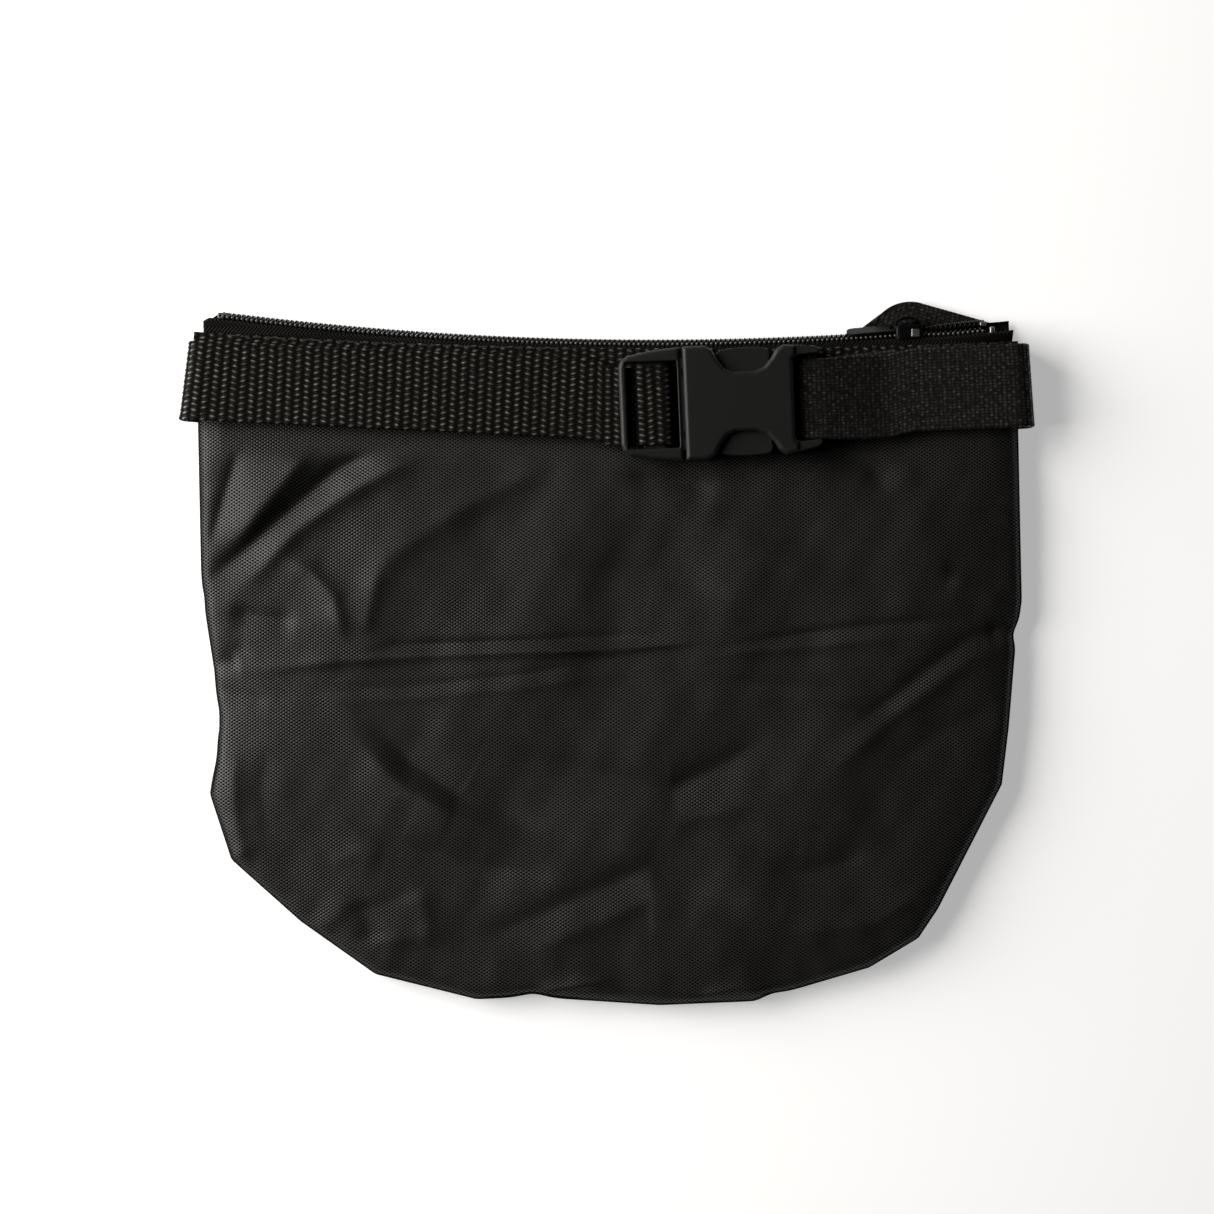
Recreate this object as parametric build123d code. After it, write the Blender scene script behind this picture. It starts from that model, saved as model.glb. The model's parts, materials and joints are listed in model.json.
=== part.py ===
from build123d import *
import math
import os

# Waist pack lying on its back. Millimetres.
# Origin on the resting plane; +X right, +Y towards the zip, +Z out of the front.

FAR = 300.0                  # cutters reach this far, well past the whole pack
OVERLAP = 1.0                # joined pieces and cutters run this far into each other

# ---- pouch -------------------------------------------------------------------
POUCH_HALF_WIDTH = 125.0
POUCH_DEPTH_BELOW_ORIGIN = 105.0
POUCH_TOP = 112.0            # outline runs past the mouth and is trimmed to the zip line
FABRIC = 0.6                 # wall thickness of the coated fabric
SEAM_HEIGHT = 4.0            # height of the side seam, where the pouch is widest
MOUTH_FLAT_FROM = 58.0       # above this the pouch is pressed flat between the belts
MOUTH_FRONT_HEIGHT = 10.6
MOUTH_BACK_HEIGHT = 3.0
MOUTH_SETBACK = 6.0          # panel edges stop this far short of the zip line
SEAM_OUTLINE = [
    (-126.2, POUCH_TOP), (-126.2, 70.0), (-125.2, 22.0), (-121.3, -3.0),
    (-119.8, -20.7), (-122.6, -41.0), (-116.0, -61.0), (-94.8, -79.9), (-72.0, -96.0),
    (-41.0, -103.7), (-24.0, -103.0), (15.0, -105.5), (44.0, -104.3),
    (79.0, -94.0), (94.0, -85.0), (100.0, -76.0), (119.5, -38.0),
    (121.6, -20.7), (123.3, 0.0), (125.6, 18.3), (124.5, 70.0), (124.5, POUCH_TOP),
]
# Each level of the pouch: height, inset from the seam outline, top edge.
OUTER_LEVELS = [
    (0.0, 10.0, 52.0),
    (SEAM_HEIGHT, 0.0, POUCH_TOP),
    (MOUTH_FRONT_HEIGHT, 3.0, POUCH_TOP),
    (13.0, 22.0, 50.0),
]
INNER_LEVELS = [
    (FABRIC, 10.4, 51.5),
    (SEAM_HEIGHT, 1.6, POUCH_TOP + 1.0),
    (MOUTH_FRONT_HEIGHT - FABRIC, 3.7, POUCH_TOP + 1.0),
    (13.0 - FABRIC, 22.3, 49.5),
]
BINDING_WIDTH = 6.0
BINDING_THICK = 0.7
BINDING_INSET = 3.2
BINDING_TOP = 84.0
BINDING_INNER_TOP = POUCH_TOP + 9.0  # the inner outline runs past the outer, leaving the mouth open

# ---- webbing -----------------------------------------------------------------
WEB_WIDTH = 25.0
WEB_THICK = 1.4
LAYER_GAP = 0.05
BACK_LEG_Z = WEB_THICK / 2
BACK_RUN_Z = WEB_THICK * 1.5 + LAYER_GAP
STRIP_Z = MOUTH_FRONT_HEIGHT + LAYER_GAP + WEB_THICK / 2
TAIL_Z = STRIP_Z + WEB_THICK + LAYER_GAP
LIVE_Z = TAIL_Z + WEB_THICK + LAYER_GAP
BACK_RUN_LEFT = -112.0
BACK_RUN_RIGHT = 58.0
BACK_RUN_Y = 81.5
LEFT_FOLD = (-130.5, 85.0)
LEFT_ANGLE = -2.67
LEFT_BACK_LEG = 58.0
LEFT_RUN = 132.5
TAIL_START = 25.5
TAIL_END = 130.0
RIGHT_FOLD = (127.3, 83.4)
RIGHT_ANGLE = 181.5
RIGHT_BACK_LEG = 10.0
RIGHT_RUN = 55.0
WRAP_FILLET = 4.0
SLACK_PATH = [(62.0, 74.8), (92.8, 97.2), (122.8, 88.4)]
STRIP_ARC = [(-126.0, 87.2), (-3.0, 82.3), (124.0, 84.4)]

# ---- zip ---------------------------------------------------------------------
ZIP_CENTRE = (13.0, 1126.35)  # the curved zip line is an arc about this far point
ZIP_RADIUS = 1030.0
ZIP_Z = 7.3
ZIP_LEFT = -123.8
ZIP_RIGHT = 122.6
TAPE_THICK = 0.5
TAPE_OFFSET = 3.0            # tape centre from the zip plane, beside the coils
TAPE_TOP = 0.9               # tape edge above the zip line
TAPE_KNEE = -4.2             # below this the tape moves in behind the panel
TAPE_TUCK = -5.6
TAPE_BOTTOM = -14.0
TAPE_END_TRIM = 6.0          # the tapes' ends are cut away this far along, below the mouth's edge
FRONT_TAPE_LOW_Z = 9.65
BACK_TAPE_LOW_Z = 3.9
COIL_RADIUS = 1.25
COIL_OFFSET = 1.45
PART_FROM = 87.0             # the two halves part to the right of this X
PART_OVER = 25.0
PART_Z = 1.6
PART_Y_FRONT = -0.9
PART_Y_BACK = 1.1
COIL_PART_SHARE = 0.75       # how much of the parting across the zip the coils take
STOP_PART_SHARE = 0.55
COIL_LEFT = -121.5
COIL_RIGHT = 113.2
STATION_STEP = 24.0
SLIDER_X = 90.5
SLIDER_LENGTH = 8.6
SLIDER_CORNER = 1.6
SLIDER_HALF_WIDTH = 4.3
SLIDER_HALF_HEIGHT = 2.5
CHANNEL_HALF_HEIGHT = 1.6
CHANNEL_HALF_WIDTH = 3.55
LOWER_PLATE_HALF_WIDTH = 2.4
WEDGE_LENGTH = 1.0
WEDGE_HALF_THICK = 0.28
BRIDGE_OUTER = (4.1, 3.0)
BRIDGE_INNER = (3.2, 2.1)
BRIDGE_WIDTH = 2.2
BRIDGE_SEAT = 0.02
TAB_PIVOT_ALONG = 1.9        # the tab's bar rests towards the right of the arch
TAB_PIVOT_HEIGHT = 3.45
TAB_BAR_RADIUS = 0.6
TAB_LENGTH = 20.5
TAB_WIDTH = 6.6
TAB_THICK = 1.1
TAB_CORNER = 2.4
TAB_EYE_LENGTH = 7.2
TAB_EYE_WIDTH = 3.0
TAB_DROOP = 2.0
STOP_LENGTH = 4.2
STOP_LEG_THICK = 0.5
STOP_BELOW = 1.0             # the clip reaches this far below the zip line, and this far above
STOP_ABOVE = 1.9
STOP_HALF_DEPTH = TAPE_OFFSET + 0.8
TOP_STOP_SIZE = (3.2, 2.6, 2.2)
TOP_STOP_CORNER = 0.4
LEFT_STOP_X = -118.0
RIGHT_STOP_X = 115.3

# ---- side-release buckle: u along it, v across it ------------------------------
BUCKLE_ORIGIN = (2.6, 76.5)
BUCKLE_ANGLE = 2.4
BUCKLE_MID_Z = 17.45
EDGE_CHAMFER = 0.8
FEMALE_HALF_HEIGHT = 5.25
CAVITY_HALF_HEIGHT = 3.5
CAVITY_HALF_WIDTH = 14.5
CAVITY_END = 46.6
MOUTH_U = 19.4
MOUTH_HALF_WIDTH = 17.1
# One side of the finger scoop, from the mouth's shoulder to the horn's shoulder.
SCOOP_CURVE = [
    (26.0, 17.1), (28.2, 16.0), (29.9, 12.8), (31.9, 10.1), (34.6, 9.0),
    (40.8, 9.0), (43.6, 10.1), (45.9, 12.6), (47.6, 15.2), (49.6, 16.5),
]
HORN_OUTLINE = [
    (59.2, 15.8), (60.3, 15.2), (60.6, 14.4), (60.0, 13.7), (54.6, 13.3),
    (53.0, 12.8), (52.5, 11.8),
]
HORN_STEP = 0.8              # the horns' tops sit this far below the housing's
HORN_START = 53.0
LOOP_BAR = (57.0, 60.0, 14.2, 17.5)      # u from, u to, z from, z to
LOOP_BAR_CORNER = 1.0
LOOP_BAR_HALF_SPAN = 14.2
FRAME_END = 18.8
FRAME_HALF_HEIGHT = 3.7
FRAME_OUTLINE = [(0.0, 11.6), (0.7, 13.6), (2.6, 15.0), (10.0, 16.4), (FRAME_END, 17.2)]
WINDOW = (2.1, 17.7, 13.1)               # u from, u to, half width
MIDDLE_BAR = (6.8, 13.6, 15.2, 18.3)
OUTER_BAR_BOTTOM = 15.2
BLOCK_END = 22.0
BLOCK_HALF_WIDTH = 13.9
BLOCK_HALF_HEIGHT = 3.2
TONGUE_END = 45.0
TONGUE_HALF_WIDTH = 2.4
TONGUE_HALF_HEIGHT = 1.5
TONGUE_TIP = 2.0
KNUCKLE = (20.9, 9.5)
KNUCKLE_RADIUS = 1.6
THROAT_SIDE = 2.4            # the arms leave the block through throats this far below the knuckles
RUNNING_GAP = 0.05
PRONG_HALF_HEIGHT = 2.8
# One prong in plan: down the arm's inner side, round the finger pad, and back along the outside.
PRONG_OUTLINE = [
    (20.9, 8.4), (28.0, 9.4), (33.0, 7.2), (41.0, 7.0), (44.6, 8.6), (45.4, 11.0),
    (45.7, 14.2), (45.2, 15.4), (43.6, 16.0), (39.0, 16.3), (33.6, 16.1), (30.6, 15.6),
    (29.4, 14.6), (28.6, 12.9), (22.1, 10.6),
]
LADDER_PATH = [
    (-6.0, LIVE_Z), (4.8, LIVE_Z), (5.2, 19.25), (14.9, 19.0), (15.4, TAIL_Z), (-6.0, TAIL_Z),
]
LOOP_PATH = [
    (76.0, LIVE_Z), (69.5, LIVE_Z), (61.2, 18.4), (55.4, 18.4), (55.4, TAIL_Z), (88.0, TAIL_Z),
]
WEB_BEND_RADIUS = 0.85

# ---- stitching ---------------------------------------------------------------
STITCH_LENGTH = 2.6
STITCH_PITCH = 3.6
STITCH_WIDTH = 0.5
STITCH_HEIGHT = 0.3
STITCH_ROW = WEB_WIDTH / 2 - 0.5
BACK_ROW = WEB_WIDTH / 2 - 2.0
STITCH_LIFT = 0.01
STRIP_ROW_LEFT = (-118, -12)  # the belt and buckle cover the strip's seam between these
STRIP_ROW_RIGHT = (95, 118)
BACK_ROWS_LEFT = LEFT_FOLD[0] + LEFT_BACK_LEG + 4.0
BACK_ROWS_RIGHT = BACK_RUN_RIGHT - 8.0


def box_between(low, high):
    """A box from its lowest corner to its highest."""
    size = [b - a for a, b in zip(low, high)]
    return Pos(*low) * Box(*size, align=(Align.MIN, Align.MIN, Align.MIN))


# ---- pouch -------------------------------------------------------------------
def level_outline(inset, top):
    """The seam outline drawn in towards the middle, with its top edge at the given height."""
    points = []
    for x, y in SEAM_OUTLINE:
        across = x * (1 - inset / POUCH_HALF_WIDTH)
        if y < 0:
            along = y * (1 - inset / POUCH_DEPTH_BELOW_ORIGIN)
        else:
            along = y * top / POUCH_TOP
        points.append((across, along))
    return points


def lofted(levels):
    sections = []
    for height, inset, top in levels:
        face = make_face(Polyline(*level_outline(inset, top), close=True))
        sections.append(Pos(0, 0, height) * face)
    return loft(sections, ruled=True)


def flattened(body, skin):
    """Press the belt zone flat, and trim the mouth to the zip's curve."""
    start = MOUTH_FLAT_FROM - skin
    above = box_between((-FAR, start, MOUTH_FRONT_HEIGHT - skin), (FAR, FAR, FAR))
    below = box_between((-FAR, start, -FAR), (FAR, FAR, MOUTH_BACK_HEIGHT + skin))
    return body - above - below


def pouch_shell():
    shell = flattened(lofted(OUTER_LEVELS), 0) - flattened(lofted(INNER_LEVELS), FABRIC)
    beyond_mouth = Pos(*ZIP_CENTRE) * Cylinder(ZIP_RADIUS + MOUTH_SETBACK, FAR)
    return shell - beyond_mouth


def pouch_half(shell, front):
    if front:
        keep = box_between((-FAR, -FAR, SEAM_HEIGHT + LAYER_GAP), (FAR, FAR, FAR))
    else:
        keep = box_between((-FAR, -FAR, -FAR), (FAR, FAR, SEAM_HEIGHT))
    return shell & keep


def seam_binding():
    """The bound seam allowance inside the pouch, open at the mouth."""
    outer = make_face(Polyline(*level_outline(BINDING_INSET, POUCH_TOP), close=True))
    inner = make_face(Polyline(*level_outline(BINDING_INSET + BINDING_WIDTH, BINDING_INNER_TOP), close=True))
    band = extrude(outer - inner, BINDING_THICK)
    band = Pos(0, 0, SEAM_HEIGHT - BINDING_THICK / 2) * band
    return band - box_between((-FAR, BINDING_TOP, -FAR), (FAR, FAR, FAR))


# ---- webbing -----------------------------------------------------------------
def webbing_along(path, place, radius=WEB_BEND_RADIUS):
    """Webbing whose edge follows a path of (along, height) points, centred on its width."""
    edge = trace(FilletPolyline(*path, radius=radius), WEB_THICK)
    band = extrude(edge, WEB_WIDTH / 2, both=True)
    return place * Rot(90, 0, 0) * band


def placed(origin, angle):
    return Pos(*origin) * Rot(0, 0, angle)


def buckle_place():
    return placed(BUCKLE_ORIGIN, BUCKLE_ANGLE)


def front_webbing_strip():
    face = trace(ThreePointArc(*STRIP_ARC), WEB_WIDTH)
    return Pos(0, 0, STRIP_Z - WEB_THICK / 2) * extrude(face, WEB_THICK)


def belt_back_run():
    low = (BACK_RUN_LEFT, BACK_RUN_Y - WEB_WIDTH / 2, BACK_RUN_Z - WEB_THICK / 2)
    high = (BACK_RUN_RIGHT, BACK_RUN_Y + WEB_WIDTH / 2, BACK_RUN_Z + WEB_THICK / 2)
    return box_between(low, high)


def strap_left():
    """Back leg, wrap round the left edge, live run, ladder turns and tail in one length."""
    place = placed(LEFT_FOLD, LEFT_ANGLE)
    wrap = [(LEFT_BACK_LEG, BACK_LEG_Z), (0, BACK_LEG_Z), (0, LIVE_Z), (LEFT_RUN, LIVE_Z)]
    run = webbing_along(wrap, place, WRAP_FILLET)
    low = (TAIL_START, -WEB_WIDTH / 2, TAIL_Z - WEB_THICK / 2)
    high = (TAIL_END, WEB_WIDTH / 2, TAIL_Z + WEB_THICK / 2)
    tail = place * box_between(low, high)
    ladder = webbing_along(LADDER_PATH, buckle_place())
    return run + ladder + tail


def slack_fold():
    """The belt's spare webbing, lying flat with one sharp turn behind the zip's open end."""
    start, turn, end = SLACK_PATH
    legs = Pos(*turn) * Circle(WEB_WIDTH / 2)
    for other in (start, end):
        legs = legs + trace(Line(turn, other), WEB_WIDTH)
    return extrude(legs, WEB_THICK)


def strap_right():
    """Loop on the buckle's bar, front run, wrap round the right edge and the slack fold."""
    place = placed(RIGHT_FOLD, RIGHT_ANGLE)
    wrap = [(RIGHT_RUN, LIVE_Z), (0, LIVE_Z), (0, BACK_LEG_Z), (RIGHT_BACK_LEG, BACK_LEG_Z)]
    run = webbing_along(wrap, place, WRAP_FILLET)
    loop = webbing_along(LOOP_PATH, buckle_place())
    return run + loop + slack_fold()


# ---- zip ---------------------------------------------------------------------
def zip_line_y(x):
    return ZIP_CENTRE[1] - math.sqrt(ZIP_RADIUS ** 2 - (x - ZIP_CENTRE[0]) ** 2)


def parting(x):
    """How far the two halves have parted at x: 0 where the zip is closed, 1 well past it."""
    return (max(0.0, x - PART_FROM) / PART_OVER) ** 2


def stations(left, right):
    count = math.ceil((right - left) / STATION_STEP)
    xs = [left + (right - left) * i / count for i in range(count + 1)]
    return sorted(xs + [PART_FROM, SLIDER_X, (PART_FROM + right) / 2])


def zip_tape(side):
    """One tape: side is +1 for the front, -1 for the back."""
    low_z = FRONT_TAPE_LOW_Z if side > 0 else BACK_TAPE_LOW_Z
    lift = PART_Y_FRONT if side > 0 else PART_Y_BACK
    sections = []
    for x in stations(ZIP_LEFT, ZIP_RIGHT):
        line = zip_line_y(x)
        part = parting(x)
        beside = ZIP_Z + side * TAPE_OFFSET
        middle = [
            (line + TAPE_TOP + lift * part, beside + side * PART_Z * part),
            (line + TAPE_KNEE, beside),
            (line + TAPE_TUCK, low_z),
            (line + TAPE_BOTTOM, low_z),
        ]
        half = TAPE_THICK / 2
        ring = [(x, y, z + half) for y, z in middle]
        ring += [(x, y, z - half) for y, z in reversed(middle)]
        sections.append(make_face(Polyline(*ring, close=True)))
    tape = loft(sections, ruled=True)
    left_trim = (-FAR, ZIP_LEFT + TAPE_END_TRIM, zip_line_y(ZIP_LEFT) - MOUTH_SETBACK)
    right_trim = (ZIP_RIGHT - TAPE_END_TRIM, FAR, zip_line_y(ZIP_RIGHT) - MOUTH_SETBACK)
    for low_x, high_x, top_y in (left_trim, right_trim):
        tape = tape - box_between((low_x, 0, -FAR), (high_x, top_y, FAR))
    return tape


def zip_coil(side):
    lift = PART_Y_FRONT if side > 0 else PART_Y_BACK
    points = []
    for x in stations(COIL_LEFT, COIL_RIGHT):
        part = parting(x)
        offset = COIL_OFFSET + COIL_PART_SHARE * PART_Z * part
        points.append((x, zip_line_y(x) + lift * part, ZIP_Z + side * offset))
    path = Spline(*points)
    section = Plane(origin=path @ 0, z_dir=path % 0) * Circle(COIL_RADIUS)
    return sweep(section, path=path)


def on_zip_line(x):
    """Local frame on the zip line: X along it, Y up out of the pouch, Z across it."""
    slope = math.degrees(math.asin((x - ZIP_CENTRE[0]) / ZIP_RADIUS))
    return Pos(x, zip_line_y(x), ZIP_Z) * Rot(0, 0, slope)


def slider_body():
    block = Box(SLIDER_LENGTH, 2 * SLIDER_HALF_HEIGHT, 2 * SLIDER_HALF_WIDTH)
    block = fillet(block.edges().filter_by(Axis.Y), SLIDER_CORNER)
    channel = Box(2 * SLIDER_LENGTH, 2 * CHANNEL_HALF_HEIGHT, 2 * CHANNEL_HALF_WIDTH)
    under = box_between(
        (-SLIDER_LENGTH, -2 * SLIDER_HALF_HEIGHT, -2 * SLIDER_HALF_WIDTH),
        (SLIDER_LENGTH, -CHANNEL_HALF_HEIGHT, 2 * SLIDER_HALF_WIDTH),
    )
    lower_plate = box_between(
        (-SLIDER_LENGTH / 2, -SLIDER_HALF_HEIGHT, -LOWER_PLATE_HALF_WIDTH),
        (SLIDER_LENGTH / 2, -CHANNEL_HALF_HEIGHT, LOWER_PLATE_HALF_WIDTH),
    )
    wedge = box_between(
        (SLIDER_LENGTH / 2 - WEDGE_LENGTH, -CHANNEL_HALF_HEIGHT, -WEDGE_HALF_THICK),
        (SLIDER_LENGTH / 2, CHANNEL_HALF_HEIGHT, WEDGE_HALF_THICK),
    )
    return on_zip_line(SLIDER_X) * (block - channel - under + lower_plate + wedge)


def slider_bridge():
    """The arch on the slider that holds the pull tab."""
    arch = Ellipse(*BRIDGE_OUTER) - Ellipse(*BRIDGE_INNER)
    arch = arch & (Pos(0, BRIDGE_OUTER[1]) * Rectangle(4 * BRIDGE_OUTER[0], 2 * BRIDGE_OUTER[1]))
    solid = extrude(arch, BRIDGE_WIDTH / 2, both=True)
    return on_zip_line(SLIDER_X) * Pos(0, SLIDER_HALF_HEIGHT + BRIDGE_SEAT, 0) * solid


def pull_tab():
    plate = Pos(-TAB_LENGTH / 2, 0) * Rectangle(TAB_LENGTH, TAB_WIDTH)
    plate = fillet(plate.vertices().sort_by(Axis.X)[:2], TAB_CORNER)
    eye = Pos(-TAB_EYE_LENGTH / 2, 0) * Rectangle(TAB_EYE_LENGTH, TAB_EYE_WIDTH)
    tab = Rot(90, 0, 0) * extrude(plate - eye, TAB_THICK / 2, both=True)
    bar = Cylinder(TAB_BAR_RADIUS, TAB_WIDTH)
    place = on_zip_line(SLIDER_X) * Pos(TAB_PIVOT_ALONG, TAB_PIVOT_HEIGHT, 0) * Rot(0, 0, TAB_DROOP)
    return place * (tab + bar)


def zip_bottom_stop():
    """A clip over both coils and tapes at the closed end."""
    outer = box_between(
        (-STOP_LENGTH / 2, -STOP_BELOW, -STOP_HALF_DEPTH),
        (STOP_LENGTH / 2, STOP_ABOVE, STOP_HALF_DEPTH),
    )
    room = COIL_RADIUS + LAYER_GAP
    inside = STOP_HALF_DEPTH - STOP_LEG_THICK
    slot = box_between((-STOP_LENGTH, -STOP_LENGTH, -inside), (STOP_LENGTH, room, inside))
    return on_zip_line(LEFT_STOP_X) * (outer - slot)


def zip_top_stops():
    """One stop at the right end of each coil."""
    stops = []
    for side in (1, -1):
        lift = PART_Y_FRONT if side > 0 else PART_Y_BACK
        part = parting(RIGHT_STOP_X)
        height = lift * part
        offset = side * (COIL_OFFSET + STOP_PART_SHARE * PART_Z * part)
        place = on_zip_line(RIGHT_STOP_X) * Pos(0, height, offset)
        block = Box(*TOP_STOP_SIZE)
        stops.append(place * fillet(block.edges(), TOP_STOP_CORNER))
    return Compound(children=stops)


# ---- buckle ------------------------------------------------------------------
def in_buckle(shape):
    return buckle_place() * shape


def at_mid_height(sketch, half_height):
    return Pos(0, 0, BUCKLE_MID_Z) * extrude(sketch, half_height, both=True)


def mirrored_face(side):
    """A face from one side's points and their mirror images across the buckle's length."""
    ring = side + [(u, -v) for u, v in reversed(side)]
    return make_face(Polyline(*ring, close=True))


def female_outline():
    """Plan of the housing: mouth, shoulders, finger scoops and two horns."""
    return mirrored_face([(MOUTH_U, MOUTH_HALF_WIDTH)] + SCOOP_CURVE + HORN_OUTLINE)


def rimmed(sketch, half_height):
    """A plate about the buckle's middle height with both rims chamfered."""
    plate = at_mid_height(sketch, half_height)
    plate = chamfer(plate.edges().group_by(Axis.Z)[-1], EDGE_CHAMFER)
    return chamfer(plate.edges().group_by(Axis.Z)[0], EDGE_CHAMFER)


def buckle_female():
    housing = rimmed(female_outline(), FEMALE_HALF_HEIGHT)
    cavity = box_between(
        (MOUTH_U - OVERLAP, -CAVITY_HALF_WIDTH, BUCKLE_MID_Z - CAVITY_HALF_HEIGHT),
        (CAVITY_END, CAVITY_HALF_WIDTH, BUCKLE_MID_Z + CAVITY_HALF_HEIGHT),
    )
    horn_top = BUCKLE_MID_Z + FEMALE_HALF_HEIGHT - HORN_STEP
    horn_relief = box_between((HORN_START, -FAR, horn_top), (FAR, FAR, FAR))
    u0, u1, z0, z1 = LOOP_BAR
    bar = box_between((u0, -LOOP_BAR_HALF_SPAN, z0), (u1, LOOP_BAR_HALF_SPAN, z1))
    bar = fillet(bar.edges().filter_by(Axis.Y), LOOP_BAR_CORNER)
    return in_buckle(housing - cavity - horn_relief + bar)


def buckle_male():
    """Webbing frame, the block that enters the housing, and the guide tongue."""
    frame = rimmed(mirrored_face(FRAME_OUTLINE), FRAME_HALF_HEIGHT)
    u0, u1, half = WINDOW
    window = box_between((u0, -half, 0), (u1, half, FAR))
    frame = frame - window
    frame = frame - box_between((-OVERLAP, -half, 0), (u0 + OVERLAP, half, OUTER_BAR_BOTTOM))
    m0, m1, z0, z1 = MIDDLE_BAR
    bar = box_between((m0, -half - OVERLAP, z0), (m1, half + OVERLAP, z1))
    block = box_between(
        (u1, -BLOCK_HALF_WIDTH, BUCKLE_MID_Z - BLOCK_HALF_HEIGHT),
        (BLOCK_END, BLOCK_HALF_WIDTH, BUCKLE_MID_Z + BLOCK_HALF_HEIGHT),
    )
    tongue = box_between(
        (BLOCK_END, -TONGUE_HALF_WIDTH, BUCKLE_MID_Z - TONGUE_HALF_HEIGHT),
        (TONGUE_END, TONGUE_HALF_WIDTH, BUCKLE_MID_Z + TONGUE_HALF_HEIGHT),
    )
    tongue = chamfer(tongue.edges().filter_by(Axis.Z).sort_by(Axis.X)[-2:], TONGUE_TIP)
    body = frame + bar + block + tongue
    for side in (1, -1):
        socket = Pos(KNUCKLE[0], side * KNUCKLE[1], BUCKLE_MID_Z)
        body = body - socket * Cylinder(KNUCKLE_RADIUS + RUNNING_GAP, FAR)
        throat = box_between(
            (KNUCKLE[0], KNUCKLE[1] - THROAT_SIDE, 0),
            (BLOCK_END + OVERLAP, BLOCK_HALF_WIDTH + OVERLAP, FAR),
        )
        body = body - (throat if side > 0 else mirror(throat, Plane.XZ))
    return in_buckle(body)


def prong(side):
    """One sprung arm with its finger pad; side is +1 for the upper, -1 for the lower."""
    solid = at_mid_height(make_face(Polyline(*PRONG_OUTLINE, close=True)), PRONG_HALF_HEIGHT)
    solid = solid + Pos(*KNUCKLE, BUCKLE_MID_Z) * Cylinder(KNUCKLE_RADIUS, 2 * PRONG_HALF_HEIGHT)
    return in_buckle(solid if side > 0 else mirror(solid, Plane.XZ))


# ---- stitching ---------------------------------------------------------------
def stitch():
    return Box(STITCH_LENGTH, STITCH_WIDTH, STITCH_HEIGHT)


def stitch_row_on_strip(low_x, high_x):
    """Stitches just inside the strip's upper edge, between two places along it."""
    middle = ThreePointArc(*STRIP_ARC)
    count = int(middle.length / STITCH_PITCH)
    height = STRIP_Z + WEB_THICK / 2 + STITCH_HEIGHT / 2 + STITCH_LIFT
    stitches = []
    for i in range(1, count):
        point = middle @ (i / count)
        if not low_x < point.X < high_x:
            continue
        slope = middle % (i / count)
        angle = math.degrees(math.atan2(slope.Y, slope.X))
        place = Pos(point.X, point.Y, height) * Rot(0, 0, angle) * Pos(0, STITCH_ROW, 0)
        stitches.append(place * stitch())
    return stitches


def strip_stitching():
    """The strip's upper seam, where the belt and buckle don't cover it."""
    rows = stitch_row_on_strip(*STRIP_ROW_LEFT) + stitch_row_on_strip(*STRIP_ROW_RIGHT)
    return Compound(children=rows)


def belt_back_stitching():
    """Two rows that sew the belt to the back of the pouch."""
    height = BACK_RUN_Z - WEB_THICK / 2 - STITCH_HEIGHT / 2 - STITCH_LIFT
    count = int((BACK_ROWS_RIGHT - BACK_ROWS_LEFT) / STITCH_PITCH)
    stitches = []
    for side in (1, -1):
        for i in range(count + 1):
            x = BACK_ROWS_LEFT + i * STITCH_PITCH
            stitches.append(Pos(x, BACK_RUN_Y + side * BACK_ROW, height) * stitch())
    return Compound(children=stitches)


NODES = {}


def build():
    shell = pouch_shell()
    NODES["front_panel"] = pouch_half(shell, True)
    NODES["back_panel"] = pouch_half(shell, False)
    NODES["seam_binding"] = seam_binding()
    NODES["front_webbing_strip"] = front_webbing_strip()
    NODES["belt_back_run"] = belt_back_run()
    NODES["strap_left"] = strap_left()
    NODES["strap_right"] = strap_right()
    NODES["front_zip_tape"] = zip_tape(1)
    NODES["back_zip_tape"] = zip_tape(-1)
    NODES["front_zip_coil"] = zip_coil(1)
    NODES["back_zip_coil"] = zip_coil(-1)
    NODES["zip_bottom_stop"] = zip_bottom_stop()
    NODES["zip_top_stops"] = zip_top_stops()
    NODES["slider_body"] = slider_body()
    NODES["slider_bridge"] = slider_bridge()
    NODES["pull_tab"] = pull_tab()
    NODES["buckle_female"] = buckle_female()
    NODES["buckle_male"] = buckle_male()
    NODES["prong_upper"] = prong(1)
    NODES["prong_lower"] = prong(-1)
    NODES["strip_stitching"] = strip_stitching()
    NODES["belt_back_stitching"] = belt_back_stitching()


build()
os.makedirs("parts", exist_ok=True)
for node, shape in NODES.items():
    export_step(shape, "parts/" + node + ".step")
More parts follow.
